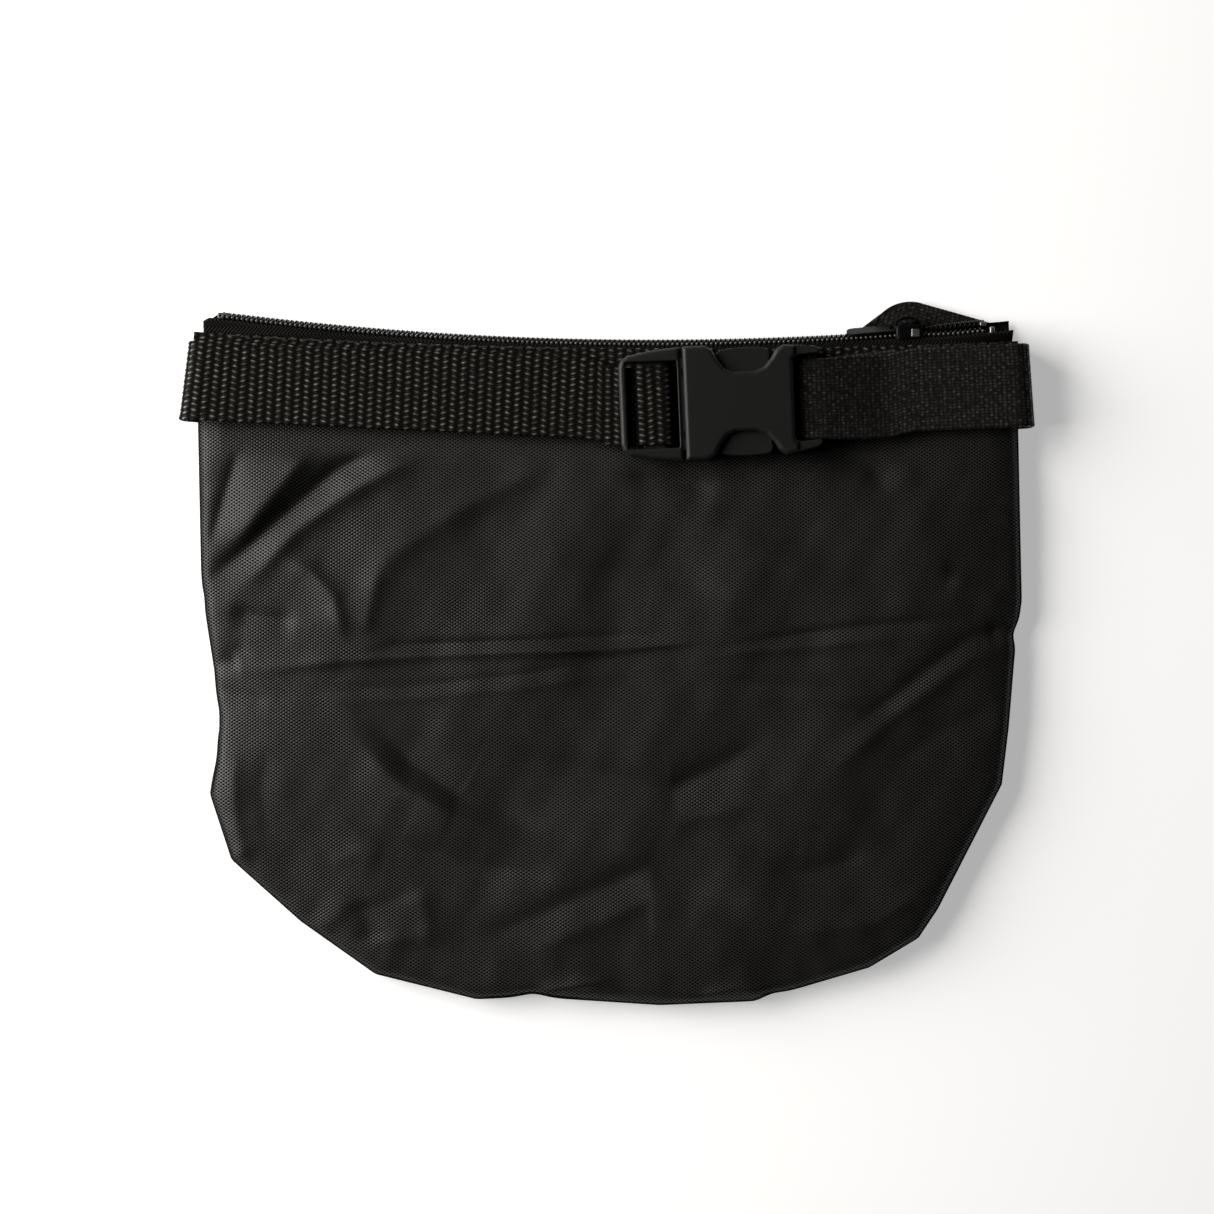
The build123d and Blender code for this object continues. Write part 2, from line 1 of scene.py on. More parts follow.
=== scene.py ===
import json
import math
import random
import bmesh
import bpy
import numpy as np
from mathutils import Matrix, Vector

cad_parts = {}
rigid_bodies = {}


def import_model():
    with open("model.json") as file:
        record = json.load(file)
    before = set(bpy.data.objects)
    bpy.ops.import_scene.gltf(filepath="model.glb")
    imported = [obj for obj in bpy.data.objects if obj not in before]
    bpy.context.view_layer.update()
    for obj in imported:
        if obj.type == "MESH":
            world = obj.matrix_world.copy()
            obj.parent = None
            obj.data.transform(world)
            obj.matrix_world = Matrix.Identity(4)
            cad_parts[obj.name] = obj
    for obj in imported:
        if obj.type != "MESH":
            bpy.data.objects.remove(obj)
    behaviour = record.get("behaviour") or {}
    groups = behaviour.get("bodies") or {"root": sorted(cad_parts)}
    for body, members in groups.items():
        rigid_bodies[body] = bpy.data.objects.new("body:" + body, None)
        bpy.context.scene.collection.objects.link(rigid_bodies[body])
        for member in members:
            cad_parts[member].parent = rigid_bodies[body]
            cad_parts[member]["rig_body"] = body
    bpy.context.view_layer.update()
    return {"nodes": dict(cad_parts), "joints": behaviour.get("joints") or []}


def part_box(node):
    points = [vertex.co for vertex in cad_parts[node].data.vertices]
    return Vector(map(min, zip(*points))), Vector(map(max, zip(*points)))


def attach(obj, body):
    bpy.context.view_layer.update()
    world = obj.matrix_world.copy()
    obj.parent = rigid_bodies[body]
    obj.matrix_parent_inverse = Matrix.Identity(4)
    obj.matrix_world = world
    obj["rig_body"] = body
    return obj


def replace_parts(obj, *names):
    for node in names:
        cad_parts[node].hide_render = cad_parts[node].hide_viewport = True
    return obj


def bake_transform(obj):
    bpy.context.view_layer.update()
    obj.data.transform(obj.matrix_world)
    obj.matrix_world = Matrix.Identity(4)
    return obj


# The waist pack's looks, built around its CAD frame. Lengths below are in millimetres, in the
# frame's axes: +X along the belt, +Y towards the zip, +Z out of the front. Meshes are in metres.
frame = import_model()
MM = 0.001


def node_box(node):
    """Lowest and highest corners of a CAD node, in millimetres."""
    low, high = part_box(node)
    return np.array(low) / MM, np.array(high) / MM


# ---------------------------------------------------------------- dimensions
STRIP_LOW, STRIP_HIGH = node_box("front_webbing_strip")
BACK_LOW, BACK_HIGH = node_box("belt_back_run")
WEB_WIDTH = 25.0
WEB_THICK = BACK_HIGH[2] - BACK_LOW[2]
LAYER_GAP = 0.05              # between two layers of webbing
LAYER = WEB_THICK + LAYER_GAP
STRIP_Z = (STRIP_LOW[2] + STRIP_HIGH[2]) / 2
TAIL_Z = STRIP_Z + LAYER      # the belt's tail lies on the strip
LIVE_Z = TAIL_Z + LAYER       # and its live run on the tail
ZIP_RADIUS = 1030.0           # of the arc that the zip follows
ZIP_JOINT = next(j for j in frame["joints"] if j["name"] == "zip_slide")
ZIP_CENTRE = np.array(ZIP_JOINT["pos_m"]) / MM
ZIP_Z = ZIP_CENTRE[2]
BUCKLE_JOINT = next(j for j in frame["joints"] if j["name"] == "buckle_slide")
BUCKLE_ANGLE = math.atan2(-BUCKLE_JOINT["axis"][1], -BUCKLE_JOINT["axis"][0])
BUCKLE_ORIGIN = (2.6, 76.5)   # the buckle's left end, on its centre line
LEFT_FOLD = (-129.3, 84.95)   # where the belt wraps round the pouch's left edge
LEFT_ANGLE = math.radians(-2.67)
RIGHT_FOLD = (127.3, 83.5)    # and round its right edge
RIGHT_ANGLE = math.radians(182.5)


# ---------------------------------------------------------------- mesh helpers
def new_object(name, data):
    """An object in the scene which holds a mesh, a light or a camera."""
    made = bpy.data.objects.new(name, data)
    bpy.context.scene.collection.objects.link(made)
    return made


def unit(vectors):
    """The same vectors, one to a row, each of length 1."""
    return vectors / np.linalg.norm(vectors, axis=1)[:, None]


def make_piece(name, points, faces, material, body):
    """A smooth mesh piece from points in millimetres. It rides on a body, unless body is None."""
    mesh = bpy.data.meshes.new(name)
    mesh.from_pydata((np.asarray(points) * MM).tolist(), [], [list(map(int, f)) for f in faces])
    mesh.validate()
    mesh.polygons.foreach_set("use_smooth", [True] * len(mesh.polygons))
    mesh.materials.append(material)
    piece = new_object(name, mesh)
    if body:
        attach(piece, body)
    return piece


def ring_faces(rings, count):
    """Quads of a tube of points stored ring by ring, count points to a ring."""
    ring, here = np.meshgrid(np.arange(rings - 1), np.arange(count), indexing="ij")
    after = (here + 1) % count
    low, high = ring * count, (ring + 1) * count
    return np.stack([low + here, low + after, high + after, high + here], -1).reshape(-1, 4)


def capped_faces(rings, count):
    """The faces of such a tube, with both its ends closed."""
    faces = ring_faces(rings, count).tolist()
    faces.append(list(range(count))[::-1])
    faces.append([(rings - 1) * count + i for i in range(count)])
    return faces


def in_frame(origin, angle, along, height):
    """A point given along and above a strap or the buckle."""
    return (origin[0] + along * math.cos(angle), origin[1] + along * math.sin(angle), height)


CORNER_STEPS = 12


def rounded(points, radii, step):
    """A dense path through 3-D points, its corners rounded with the given radii."""
    points = [np.array(p, float) for p in points]
    dense = [points[0]]
    for i in range(1, len(points) - 1):
        before, corner, after = points[i - 1], points[i], points[i + 1]
        a = (before - corner) / np.linalg.norm(before - corner)
        b = (after - corner) / np.linalg.norm(after - corner)
        turn = math.acos(max(-1.0, min(1.0, float(a @ b))))
        reach = radii[i] / math.tan(turn / 2)
        reach = min(reach, 0.49 * np.linalg.norm(before - corner), 0.49 * np.linalg.norm(after - corner))
        start, end = corner + a * reach, corner + b * reach
        for k in range(CORNER_STEPS + 1):
            t = k / CORNER_STEPS
            dense.append((1 - t) ** 2 * start + 2 * t * (1 - t) * corner + t * t * end)
    dense.append(points[-1])
    return resample(np.array(dense), step)


def resample(path, step):
    """The same path with its points evenly spaced, about a step apart."""
    gaps = np.linalg.norm(np.diff(path, axis=0), axis=1)
    along = arc_length(path)
    keep = np.concatenate([[True], gaps > 1e-9])
    path, along = path[keep], along[keep]
    count = max(2, int(round(along[-1] / step)) + 1)
    wanted = np.linspace(0, along[-1], count)
    return np.stack([np.interp(wanted, along, path[:, i]) for i in range(3)], -1)


def arc_length(path):
    """How far along the path each of its points is."""
    gaps = np.linalg.norm(np.diff(path, axis=0), axis=1)
    return np.concatenate([[0], np.cumsum(gaps)])


# ---------------------------------------------------------------- materials
def new_material(name):
    material = bpy.data.materials.new(name)
    material.use_nodes = True
    tree = material.node_tree
    bsdf = tree.nodes["Principled BSDF"]
    return material, tree, bsdf


def node(tree, kind, **settings):
    made = tree.nodes.new(kind)
    for key, value in settings.items():
        setattr(made, key, value)
    return made


def math_node(tree, operation, a, b=None):
    """A sum on sockets or plain numbers."""
    made = node(tree, "ShaderNodeMath", operation=operation)
    for socket, value in zip(made.inputs, (a, b)):
        if value is None:
            continue
        if isinstance(value, (int, float)):
            socket.default_value = value
        else:
            tree.links.new(value, socket)
    return made.outputs[0]


def times(tree, a, b):
    return math_node(tree, "MULTIPLY", a, b)


def plus(tree, a, b):
    return math_node(tree, "ADD", a, b)


def cosine(tree, value, half_turn):
    """A cosine wave of a value, which changes sign once every half turn."""
    return math_node(tree, "COSINE", times(tree, value, math.pi / half_turn))


def half_up(tree, wave):
    """A wave from -1 to 1, moved to run from 0 to 1."""
    return plus(tree, times(tree, wave, 0.5), 0.5)


def clamped(tree, value, low, high):
    return math_node(tree, "MINIMUM", math_node(tree, "MAXIMUM", value, low), high)


def axes_of(tree, vector):
    """The three parts of a vector."""
    split = node(tree, "ShaderNodeSeparateXYZ")
    tree.links.new(vector, split.inputs[0])
    return split.outputs


def object_axes(tree):
    """The place on the object as a vector, and its three parts."""
    place = node(tree, "ShaderNodeTexCoord").outputs["Object"]
    return place, axes_of(tree, place)


def checker_wave(tree, x, y, pitch_x, pitch_y):
    """Plain weave: +1 where a warp thread is on top, -1 where it dives, smooth between."""
    return times(tree, cosine(tree, x, pitch_x * MM), cosine(tree, y, pitch_y * MM))


def mixed_colour(tree, factor, dark, light):
    """From the dark colour, where the factor is 0, to the light one, where it is 1."""
    mix = node(tree, "ShaderNodeMix", data_type="RGBA")
    mix.inputs["A"].default_value = (*dark, 1)
    mix.inputs["B"].default_value = (*light, 1)
    tree.links.new(factor, mix.inputs["Factor"])
    return mix.outputs["Result"]


def bumped(tree, bsdf, height, strength, distance_mm):
    bump = node(tree, "ShaderNodeBump")
    bump.inputs["Strength"].default_value = strength
    bump.inputs["Distance"].default_value = distance_mm * MM
    tree.links.new(height, bump.inputs["Height"])
    tree.links.new(bump.outputs["Normal"], bsdf.inputs["Normal"])


def noise(tree, vector, scale, detail=3.0):
    made = node(tree, "ShaderNodeTexNoise")
    made.inputs["Scale"].default_value = scale
    made.inputs["Detail"].default_value = detail
    tree.links.new(vector, made.inputs["Vector"])
    return made.outputs["Fac"]


def remap(tree, value, low, high, start=0.0, end=1.0, **settings):
    """A value that runs from start to end, made to run from low to high."""
    made = node(tree, "ShaderNodeMapRange", **settings)
    made.inputs["From Min"].default_value = start
    made.inputs["From Max"].default_value = end
    made.inputs["To Min"].default_value = low
    made.inputs["To Max"].default_value = high
    tree.links.new(value, made.inputs["Value"])
    return made.outputs["Result"]


NYLON_WEAVE = (0.80, 0.51)    # half the repeat, along and across the pouch
GRAIN_SLOPE = -0.026          # the cloth was cut slightly off its grain
GAP_FROM, GAP_GAIN = 0.42, 3.4   # how deep a thread dives before the gap swallows it
STEEP_FROM, STEEP_TO = 0.45, 0.85   # the upward part of a normal, between matte and full sheen


def coated_nylon():
    """Fine plain-woven nylon: dots of warp thread with a soft sheen, matte on the steep seam edge."""
    material, tree, bsdf = new_material("coated_nylon")
    vector, axes = object_axes(tree)
    level = plus(tree, axes[1], times(tree, axes[0], GRAIN_SLOPE))
    weave = checker_wave(tree, axes[0], level, *NYLON_WEAVE)
    down = plus(tree, times(tree, weave, -0.5), 0.5)
    gaps = clamped(tree, times(tree, math_node(tree, "SUBTRACT", down, GAP_FROM), GAP_GAIN), 0.0, 1.0)
    uneven = plus(tree, times(tree, noise(tree, vector, 900.0, 1.0), 0.4), 0.8)
    threads = times(tree, math_node(tree, "SUBTRACT", 1.0, gaps), uneven)
    colour = mixed_colour(tree, threads, (0.0004, 0.0004, 0.0004), (0.0165, 0.0155, 0.0143))
    tree.links.new(colour, bsdf.inputs["Base Color"])
    tree.links.new(remap(tree, noise(tree, vector, 60.0), 0.44, 0.54), bsdf.inputs["Roughness"])
    facing = axes_of(tree, node(tree, "ShaderNodeNewGeometry").outputs["True Normal"])
    upward = math_node(tree, "ABSOLUTE", facing[2])
    sheen = times(tree, times(tree, threads, 0.6), remap(tree, upward, 0.0, 1.0, STEEP_FROM, STEEP_TO))
    tree.links.new(sheen, bsdf.inputs["Specular IOR Level"])
    bumped(tree, bsdf, weave, 0.8, 0.09)
    return material


WEAVE_UV = "weave"
LEFT_WEAVE = (2.77, 0.86)     # half the webbing's repeat, along and across it
RIGHT_WEAVE = (1.385, 0.95)   # the right end shows its finer side
SLANT = 0.24                  # yarns lean one way in one rib and the other way in the next


def woven_webbing(name, base, rough, pitch, lead, shine, valley, under, rib, faint, spark):
    """Thick polypropylene webbing. The UV map holds millimetres along and across the weave.

    Lead is how much brighter the left end of each float is painted than its right end: a painted
    highlight on the end that faces the light. Valley is how light the gaps between floats are,
    against the floats. Under is how far the floats that dive still show, rib is how narrow each
    float is, faint is how much every other rib recedes, and spark is how unevenly the floats shine.
    """
    material, tree, bsdf = new_material(name)
    vector, _ = object_axes(tree)
    along, across, _ = axes_of(tree, node(tree, "ShaderNodeUVMap", uv_map=WEAVE_UV).outputs[0])
    zig = math_node(tree, "PINGPONG", plus(tree, along, pitch[0] / 2), pitch[0])
    slanted = plus(tree, across, times(tree, zig, SLANT))
    warp = cosine(tree, along, pitch[0])
    weft = cosine(tree, slanted, pitch[1])
    float_up = math_node(tree, "GREATER_THAN", times(tree, warp, weft), 0.0)
    size = times(tree, math_node(tree, "POWER", math_node(tree, "ABSOLUTE", warp), rib),
                 math_node(tree, "POWER", math_node(tree, "ABSOLUTE", weft), 1.3))
    bead = times(tree, size, remap(tree, float_up, under, 1.0))
    # Painted highlight: each float's left end, which faces the light, is painted lighter than its right
    # end.
    lit_side_wave = math_node(tree, "SINE", times(tree, along, -math.tau / pitch[0]))
    lit_end = remap(tree, half_up(tree, lit_side_wave), 1.0 - lead, 1.0)
    ply = math_node(tree, "SINE", plus(tree, times(tree, along, 5.2), times(tree, across, 7.3)))
    grain = noise(tree, vector, 2600.0, 2.0)
    fleck = plus(tree, times(tree, noise(tree, vector, 750.0, 1.0), spark), 0.6 - spark / 2)
    fleck = math_node(tree, "MAXIMUM", fleck, 0.1)
    fainter = remap(tree, half_up(tree, warp), 1.0 - faint, 1.0)
    tops = times(tree, times(tree, bead, lit_end), plus(tree, grain, 0.4))
    tops = times(tree, times(tree, tops, fleck), fainter)
    colour = mixed_colour(tree, tops, tuple(c * valley for c in base), base)
    tree.links.new(colour, bsdf.inputs["Base Color"])
    tree.links.new(remap(tree, grain, rough, rough + 0.2), bsdf.inputs["Roughness"])
    tree.links.new(times(tree, tops, shine), bsdf.inputs["Specular IOR Level"])
    bumped(tree, bsdf, plus(tree, bead, times(tree, ply, 0.08)), 0.6, 0.16)
    return material


def moulded_plastic():
    """Spark-textured black acetal, painted lighter on its sharp outer edges as a painted highlight and
    darker in its inner corners as painted shade.
    """
    material, tree, bsdf = new_material("moulded_plastic")
    vector, _ = object_axes(tree)
    grain = noise(tree, vector, 1500.0, 2.0)
    geometry = node(tree, "ShaderNodeNewGeometry")
    # Pointiness paints the colour: lighter on convex edges as painted highlight, darker in concave corners
    # as painted shade.
    painted_edge_light_shade = clamped(tree, remap(tree, geometry.outputs["Pointiness"], -2.2, 3.2), 0.0, 1.0)
    colour = mixed_colour(tree, painted_edge_light_shade, (0.0045, 0.0044, 0.0044), (0.012, 0.012, 0.012))
    tree.links.new(colour, bsdf.inputs["Base Color"])
    tree.links.new(remap(tree, grain, 0.40, 0.56), bsdf.inputs["Roughness"])
    bsdf.inputs["Specular IOR Level"].default_value = 0.3
    bumped(tree, bsdf, grain, 0.25, 0.05)
    return material


def plain_glossy(name, base, rough, metallic=0.0, shine=0.5):
    """One colour with slightly smudged gloss."""
    material, tree, bsdf = new_material(name)
    vector, _ = object_axes(tree)
    smudge = noise(tree, vector, 500.0)
    bsdf.inputs["Base Color"].default_value = (*base, 1)
    bsdf.inputs["Metallic"].default_value = metallic
    bsdf.inputs["Specular IOR Level"].default_value = shine
    tree.links.new(remap(tree, smudge, rough, rough + 0.15), bsdf.inputs["Roughness"])
    bumped(tree, bsdf, smudge, 0.08, 0.05)
    return material


CHEVRON = 2.2                 # the height of one leg of the tape's chevrons
CHEVRON_PITCH = 1.15


def herringbone_tape():
    """Zip tape: chevrons of fine thread along the zip."""
    material, tree, bsdf = new_material("herringbone_tape")
    _, axes = object_axes(tree)
    zig = math_node(tree, "PINGPONG", axes[1], CHEVRON * MM)
    slant = plus(tree, axes[0], zig)
    ribs = math_node(tree, "SINE", times(tree, slant, math.tau / (CHEVRON_PITCH * MM)))
    colour = mixed_colour(tree, half_up(tree, ribs), (0.0008, 0.0008, 0.0008), (0.0125, 0.012, 0.0112))
    tree.links.new(colour, bsdf.inputs["Base Color"])
    bsdf.inputs["Roughness"].default_value = 0.6
    bsdf.inputs["Specular IOR Level"].default_value = 0.05
    bumped(tree, bsdf, ribs, 0.8, 0.14)
    return material


NYLON = coated_nylon()
# lead paints each float's left end lighter, as a painted highlight.
WEBBING = woven_webbing("webbing", (0.27, 0.25, 0.218), 0.30, LEFT_WEAVE, lead=0.6, shine=1.0,
                        valley=0.022, under=0.12, rib=3.4, faint=0.0, spark=2.2)
# The right end and the slack: the same webbing with a darker base colour as painted shade, duller and with
# a finer lattice.
WEBBING_DULL_SHADED = woven_webbing("webbing_dull_shaded", (0.062, 0.058, 0.052), 0.40, RIGHT_WEAVE, lead=0.3, shine=1.0,
                             valley=0.16, under=0.5, rib=1.3, faint=0.12, spark=4.0)
THREAD = plain_glossy("thread", (0.010, 0.0095, 0.009), 0.45)
PLASTIC = moulded_plastic()
TAPE = herringbone_tape()
COIL = plain_glossy("coil_nylon", (0.004, 0.004, 0.004), 0.35, shine=0.14)
# Balls on the coils' loops: their light colour is painted highlight, their gloss is real.
BACK_CROWN_HIGHLIGHT_PAINT = plain_glossy("coil_back_crown_highlights", (0.045, 0.043, 0.04), 0.25, shine=0.4)
CROWN_HIGHLIGHT_PAINT = plain_glossy("coil_crown_highlights", (0.13, 0.125, 0.118), 0.2)
ENAMEL = plain_glossy("slider_enamel", (0.0018, 0.0018, 0.0021), 0.45, shine=0.07)
STOP = plain_glossy("stop_metal", (0.42, 0.40, 0.37), 0.3, 1.0)
STOP_DARK = plain_glossy("stop_dark", (0.10, 0.095, 0.085), 0.35, 0.5)


# ---------------------------------------------------------------- pouch
AT_SEAM = 0.02                # how far above the CAD panel's rim a corner still counts as on it
SEAM_REACH = 60.0             # the seam runs at least this far from the middle


def seam_outline():
    """The pouch's plan at its seam, read from the CAD panel, as a closed ring of corners."""
    mesh = frame["nodes"]["front_panel"].data
    points = np.array([v.co for v in mesh.vertices]) / MM
    seam_z = points[:, 2].min()
    outward = {}
    for face in mesh.polygons:
        for edge in face.edge_keys:
            outward.setdefault(edge, []).append(np.array(face.normal[:2]))
    corners = set()
    for (a, b), normals in outward.items():
        at_seam = max(points[a, 2], points[b, 2]) < seam_z + AT_SEAM
        if at_seam and sum(n @ points[a, :2] for n in normals) > 0:
            corners.update((a, b))
    ring = np.array([points[i, :2] for i in corners])
    ring = ring[np.argsort(np.arctan2(ring[:, 1], ring[:, 0]))]
    radii = np.hypot(ring[:, 0], ring[:, 1])
    return ring[radii > SEAM_REACH]


OUTLINE = seam_outline()
RING_STEP = 1.4
RINGS = 135
RING_CROWDING = 1.15          # above 1 the rings crowd towards the seam


def distance_to_path(points, path, closed=False):
    """For each point: distance to a polyline, where along it (0 to 1), and the offset from it."""
    path = np.asarray(path, float)
    ends = np.vstack([path, path[:1]]) if closed else path
    lengths = np.linalg.norm(np.diff(ends, axis=0), axis=1)
    total = lengths.sum()
    best = np.full(len(points), 1e9)
    where = np.zeros(len(points))
    offset = np.zeros((len(points), 2))
    run = 0.0
    for a, b, length in zip(ends[:-1], ends[1:], lengths):
        d = (b - a) / max(length, 1e-9)
        t = np.clip((points - a) @ d, 0, length)
        off = points - a - t[:, None] * d
        dist = np.hypot(off[:, 0], off[:, 1])
        closer = dist < best
        best = np.where(closer, dist, best)
        where = np.where(closer, (run + t) / total, where)
        offset = np.where(closer[:, None], off, offset)
        run += length
    return best, where, offset


# Folds of the front, as polylines in plan. Each row gives the height, which is below 0 for a
# valley, the width and the line.
FOLDS = [
    (1.9, 5.6, [(-116.7, 31.7), (-107.6, 43.8), (-98.5, 54.7), (-87.6, 69.8)]),
    (-1.3, 4.4, [(-105.8, 72.9), (-113.6, 62), (-117.9, 48.6), (-122.7, 31.7)]),
    (-2.6, 5.6, [(-128.8, 17.7), (-117, 28.9), (-101.8, 42), (-83.6, 57.7), (-63.9, 68.6), (-56.4, 72.9)]),
    (1.9, 5.8, [(-114.9, 20.7), (-105.8, 28.6), (-95.5, 39.5), (-82.1, 49.5), (-62.4, 60.7),
                (-51.8, 66.8)]),
    (1.15, 8, [(-76.1, 19.8), (-66.4, 31.7), (-48.8, 44.1), (-27.6, 55.3), (-15.5, 62.3)]),
    (0.9, 5.5, [(-75.5, 6.2), (-73, 16.8), (-70, 28.9)]),
    (1.4, 5, [(-101.8, 31.7), (-91.2, 26.8), (-84.2, 18.9), (-80.6, 4.7)]),
    (-0.9, 2.4, [(-82.1, 0.1), (-65.5, 4.4), (-24.6, 5.9), (19.4, 8)]),
    (1, 2.8, [(-120.6, -3.2), (-100.3, -2), (-80.6, 0.1), (-54.9, 1.7), (-27.6, 2.6), (23.3, 5)]),
    (0.6, 1.7, [(-24.6, 2), (-0.3, 3.2), (26.4, 5.3)]),
    (-0.35, 2.4, [(-97.3, -9.3), (-60.9, -8), (-27.6, -4.4), (0.3, 0.1)]),
    (0.3, 3, [(-100.3, -12.6), (-63.9, -11.7), (-24.6, -8), (8.8, -2.9)]),
    (-1.3, 4.6, [(-117, 14.7), (-105.8, 12.9), (-94.2, 11.7)]),
    (-1, 2.6, [(-122.1, -2), (-117.9, -1.1), (-112.4, 0.1)]),
    (-0.8, 3, [(-123, -8.3), (-112.4, -10.8), (-102.7, -13.8)]),
    (0.9, 5.5, [(-113.6, -24.7), (-114.9, -36.2), (-114.2, -48.3), (-110.6, -66.5)]),
    (-0.4, 5, [(-103.9, -24.1), (-105.8, -39.3), (-103.9, -57.4)]),
    (1.3, 5.6, [(-79.1, -21.1), (-70, -32.6), (-62.4, -39.3), (-48.8, -46.8), (-20, -57.4)]),
    (-1.4, 5.6, [(-74.2, -16.8), (-60.9, -30.8), (-45.8, -41.4), (-13.9, -52)]),
    (-0.9, 5.2, [(-85.2, -44.7), (-63.9, -56.2), (-39.7, -62.9), (-13.9, -65.3)]),
    (0.9, 7, [(-59.1, -68.3), (-56.7, -77.1), (-55.5, -88.3)]),
    (-0.8, 7, [(-75.5, -72), (-73.6, -79.3), (-71.8, -87.1)]),
    (0.45, 5, [(-86.7, -62), (-76.1, -58), (-68.2, -60.5)]),
    (0.5, 5, [(-94.2, -86.5), (-83.6, -78), (-77.3, -70.2)]),
    (-0.9, 3.2, [(2.7, 56.5), (19.7, 54.1), (33.6, 50.7)]),
    (0.5, 5, [(8.8, 49.8), (23.9, 48), (37.6, 45)]),
    (-1, 9, [(-10.9, 28.9), (13.3, 26.8), (39.1, 19.5)]),
    (0.9, 7, [(7.3, 48.6), (28.5, 41), (57.3, 28), (80, 21.4)]),
    (-1.2, 6.5, [(-36.7, -25.6), (-6.4, -33.8), (17.9, -39.6), (34.5, -31.4), (49.7, -22)]),
    (0.6, 5.5, [(-15.5, -42.3), (20.9, -49), (49.7, -41.7)]),
    (-1.2, 7.5, [(-44.2, -87.1), (-12.4, -73.2), (11.8, -63.2), (28.5, -69), (46.7, -76.5)]),
    (0.7, 6, [(-27.6, -89.3), (11.8, -72.6), (39.1, -81.7)]),
    (-0.8, 6.5, [(44.5, -59.9), (57.3, -65), (79.7, -58.3)]),
    (0.6, 5, [(49.7, -83.2), (80, -80.2), (99.7, -66.5)]),
    (0.8, 5, [(64.8, -35.6), (69.4, -31.7), (86.1, -16.5), (108.8, 0.1), (123.3, 6.5)]),
    (-0.8, 4.4, [(70, -22.9), (87.6, -9.6), (105.8, 4.7), (121.5, 12)]),
    (-0.5, 6, [(81.5, -34.7), (99.7, -21.7), (122.4, -12)]),
    (-0.5, 2.6, [(30.6, -5.6), (54.2, -7.4), (79.7, -9.3)]),
    (0.35, 3, [(31.5, -9.6), (57.3, -11.4), (78.5, -12.9)]),
    (-0.9, 2.6, [(33.6, 4.4), (75.4, 10.1), (109.4, 12.6)]),
    (0.8, 3.2, [(28.5, 1.7), (60.3, 4.4), (90.6, 7.4)]),
    (-1, 3, [(98.2, 28.6), (111.8, 24.4), (123.3, 21.4)]),
    (0.9, 3.6, [(101.2, 25), (113.3, 21.4), (121.5, 18.3)]),
    (-1.1, 2.8, [(113.3, 8.6), (120.9, 10.4), (124.5, 11.7)]),
    (-0.7, 5, [(65.1, 65.6), (77.9, 60.1), (85.1, 50.4)]),
    (0.4, 6, [(70.9, 66.8), (84.5, 62.3), (95.1, 51.7)]),
    (1, 2.2, [(-25.2, -102), (-12.4, -99.3), (0.3, -97.1)]),
    (0.9, 2.2, [(23.9, -102.9), (37.6, -99.9), (51.2, -100.8)]),
    (-0.7, 3, [(-15.5, -105.3), (2.7, -102.9), (20.9, -103.8)]),
    (-0.5, 3.2, [(-122.1, -1.1), (-117, 1.4), (-109.4, 4.7)]),
]
# Where the seam is drawn in: X, Y, how deep and how wide.
PINCHES = [
    (-126, 20, 0.5, 4.0), (-123, -16, 0.7, 4.0), (-122, -30, 0.5, 5.0), (125, 8, 1.3, 3.4),
    (-24, -104, 1.0, 5.0), (50, -104, 0.8, 4.0),
]
STEEP_SIDE = np.array([0.95, -0.31])     # the way a ridge's steep flank faces; a valley's faces back
FOLD_GAIN = 1.05
FOLD_FADE = 0.28              # the share of its length over which a fold rises, at either end
FOLD_TIP = 0.12               # what is left of it at the very tips


def fold_heights(points):
    """The folds' relief over the plan, in millimetres: a steep flank and a soft one each."""
    total = np.zeros(len(points))
    for height, width, path in FOLDS:
        dist, where, offset = distance_to_path(points, path)
        from_tip = np.minimum(where, 1 - where) / FOLD_FADE
        fade = np.sin(np.clip(from_tip, 0, 1) * math.pi / 2) ** 2
        toward = np.tanh((offset @ STEEP_SIDE) * math.copysign(1, height) / (0.3 * width))
        reach = width * (1 - 0.35 * toward)
        blunt = 0.2 * width
        cusp = np.exp(-(np.sqrt(dist ** 2 + blunt ** 2) - blunt) / (0.75 * reach))
        cusp *= np.exp(-(dist / (3.2 * reach)) ** 2)
        total += FOLD_GAIN * height * cusp * (FOLD_TIP + (1 - FOLD_TIP) * fade)
    return total


def pinched_border():
    """The seam in plan, evenly stepped and drawn in at the pinches."""
    ring = np.vstack([OUTLINE, OUTLINE[:1]])
    flat = np.column_stack([ring, np.zeros(len(ring))])
    border = resample(flat, RING_STEP)[:-1, :2]
    for x, y, depth, width in PINCHES:
        near = np.exp(-((border - (x, y)) ** 2).sum(1) / width ** 2)
        border = border * (1 - near * depth / np.linalg.norm(border, axis=1))[:, None]
    return border


def smooth_noise(points, scale, seed):
    """Slow, repeatable waviness from a few random plane waves."""
    rng = random.Random(seed)
    total = np.zeros(len(points))
    for _ in range(9):
        angle = rng.uniform(0, math.tau)
        wave = rng.uniform(0.6, 1.6) / scale
        phase = rng.uniform(0, math.tau)
        along = points[:, 0] * math.cos(angle) + points[:, 1] * math.sin(angle)
        total += np.sin(math.tau * wave * along + phase)
    return total / 3


SEAM_Z = 4.0
CROWN = 11.6                  # the top of the front
ROLL_SHARE = 0.62             # the cloth rolls up sharply at the seam, then rises slowly
ROLL_RISE = 0.9
BODY_RISE = 13.0
BELT_FROM = 63.0              # above this Y the pouch is pressed flat under the belt
BELT_EASE = 1.6
PRESSED_TOP, PRESSED_LOW = 10.4, 3.1
BACK_LOW_Z = 0.35             # how low the back hangs, before its waves
GROUND_CLEARANCE = 0.05


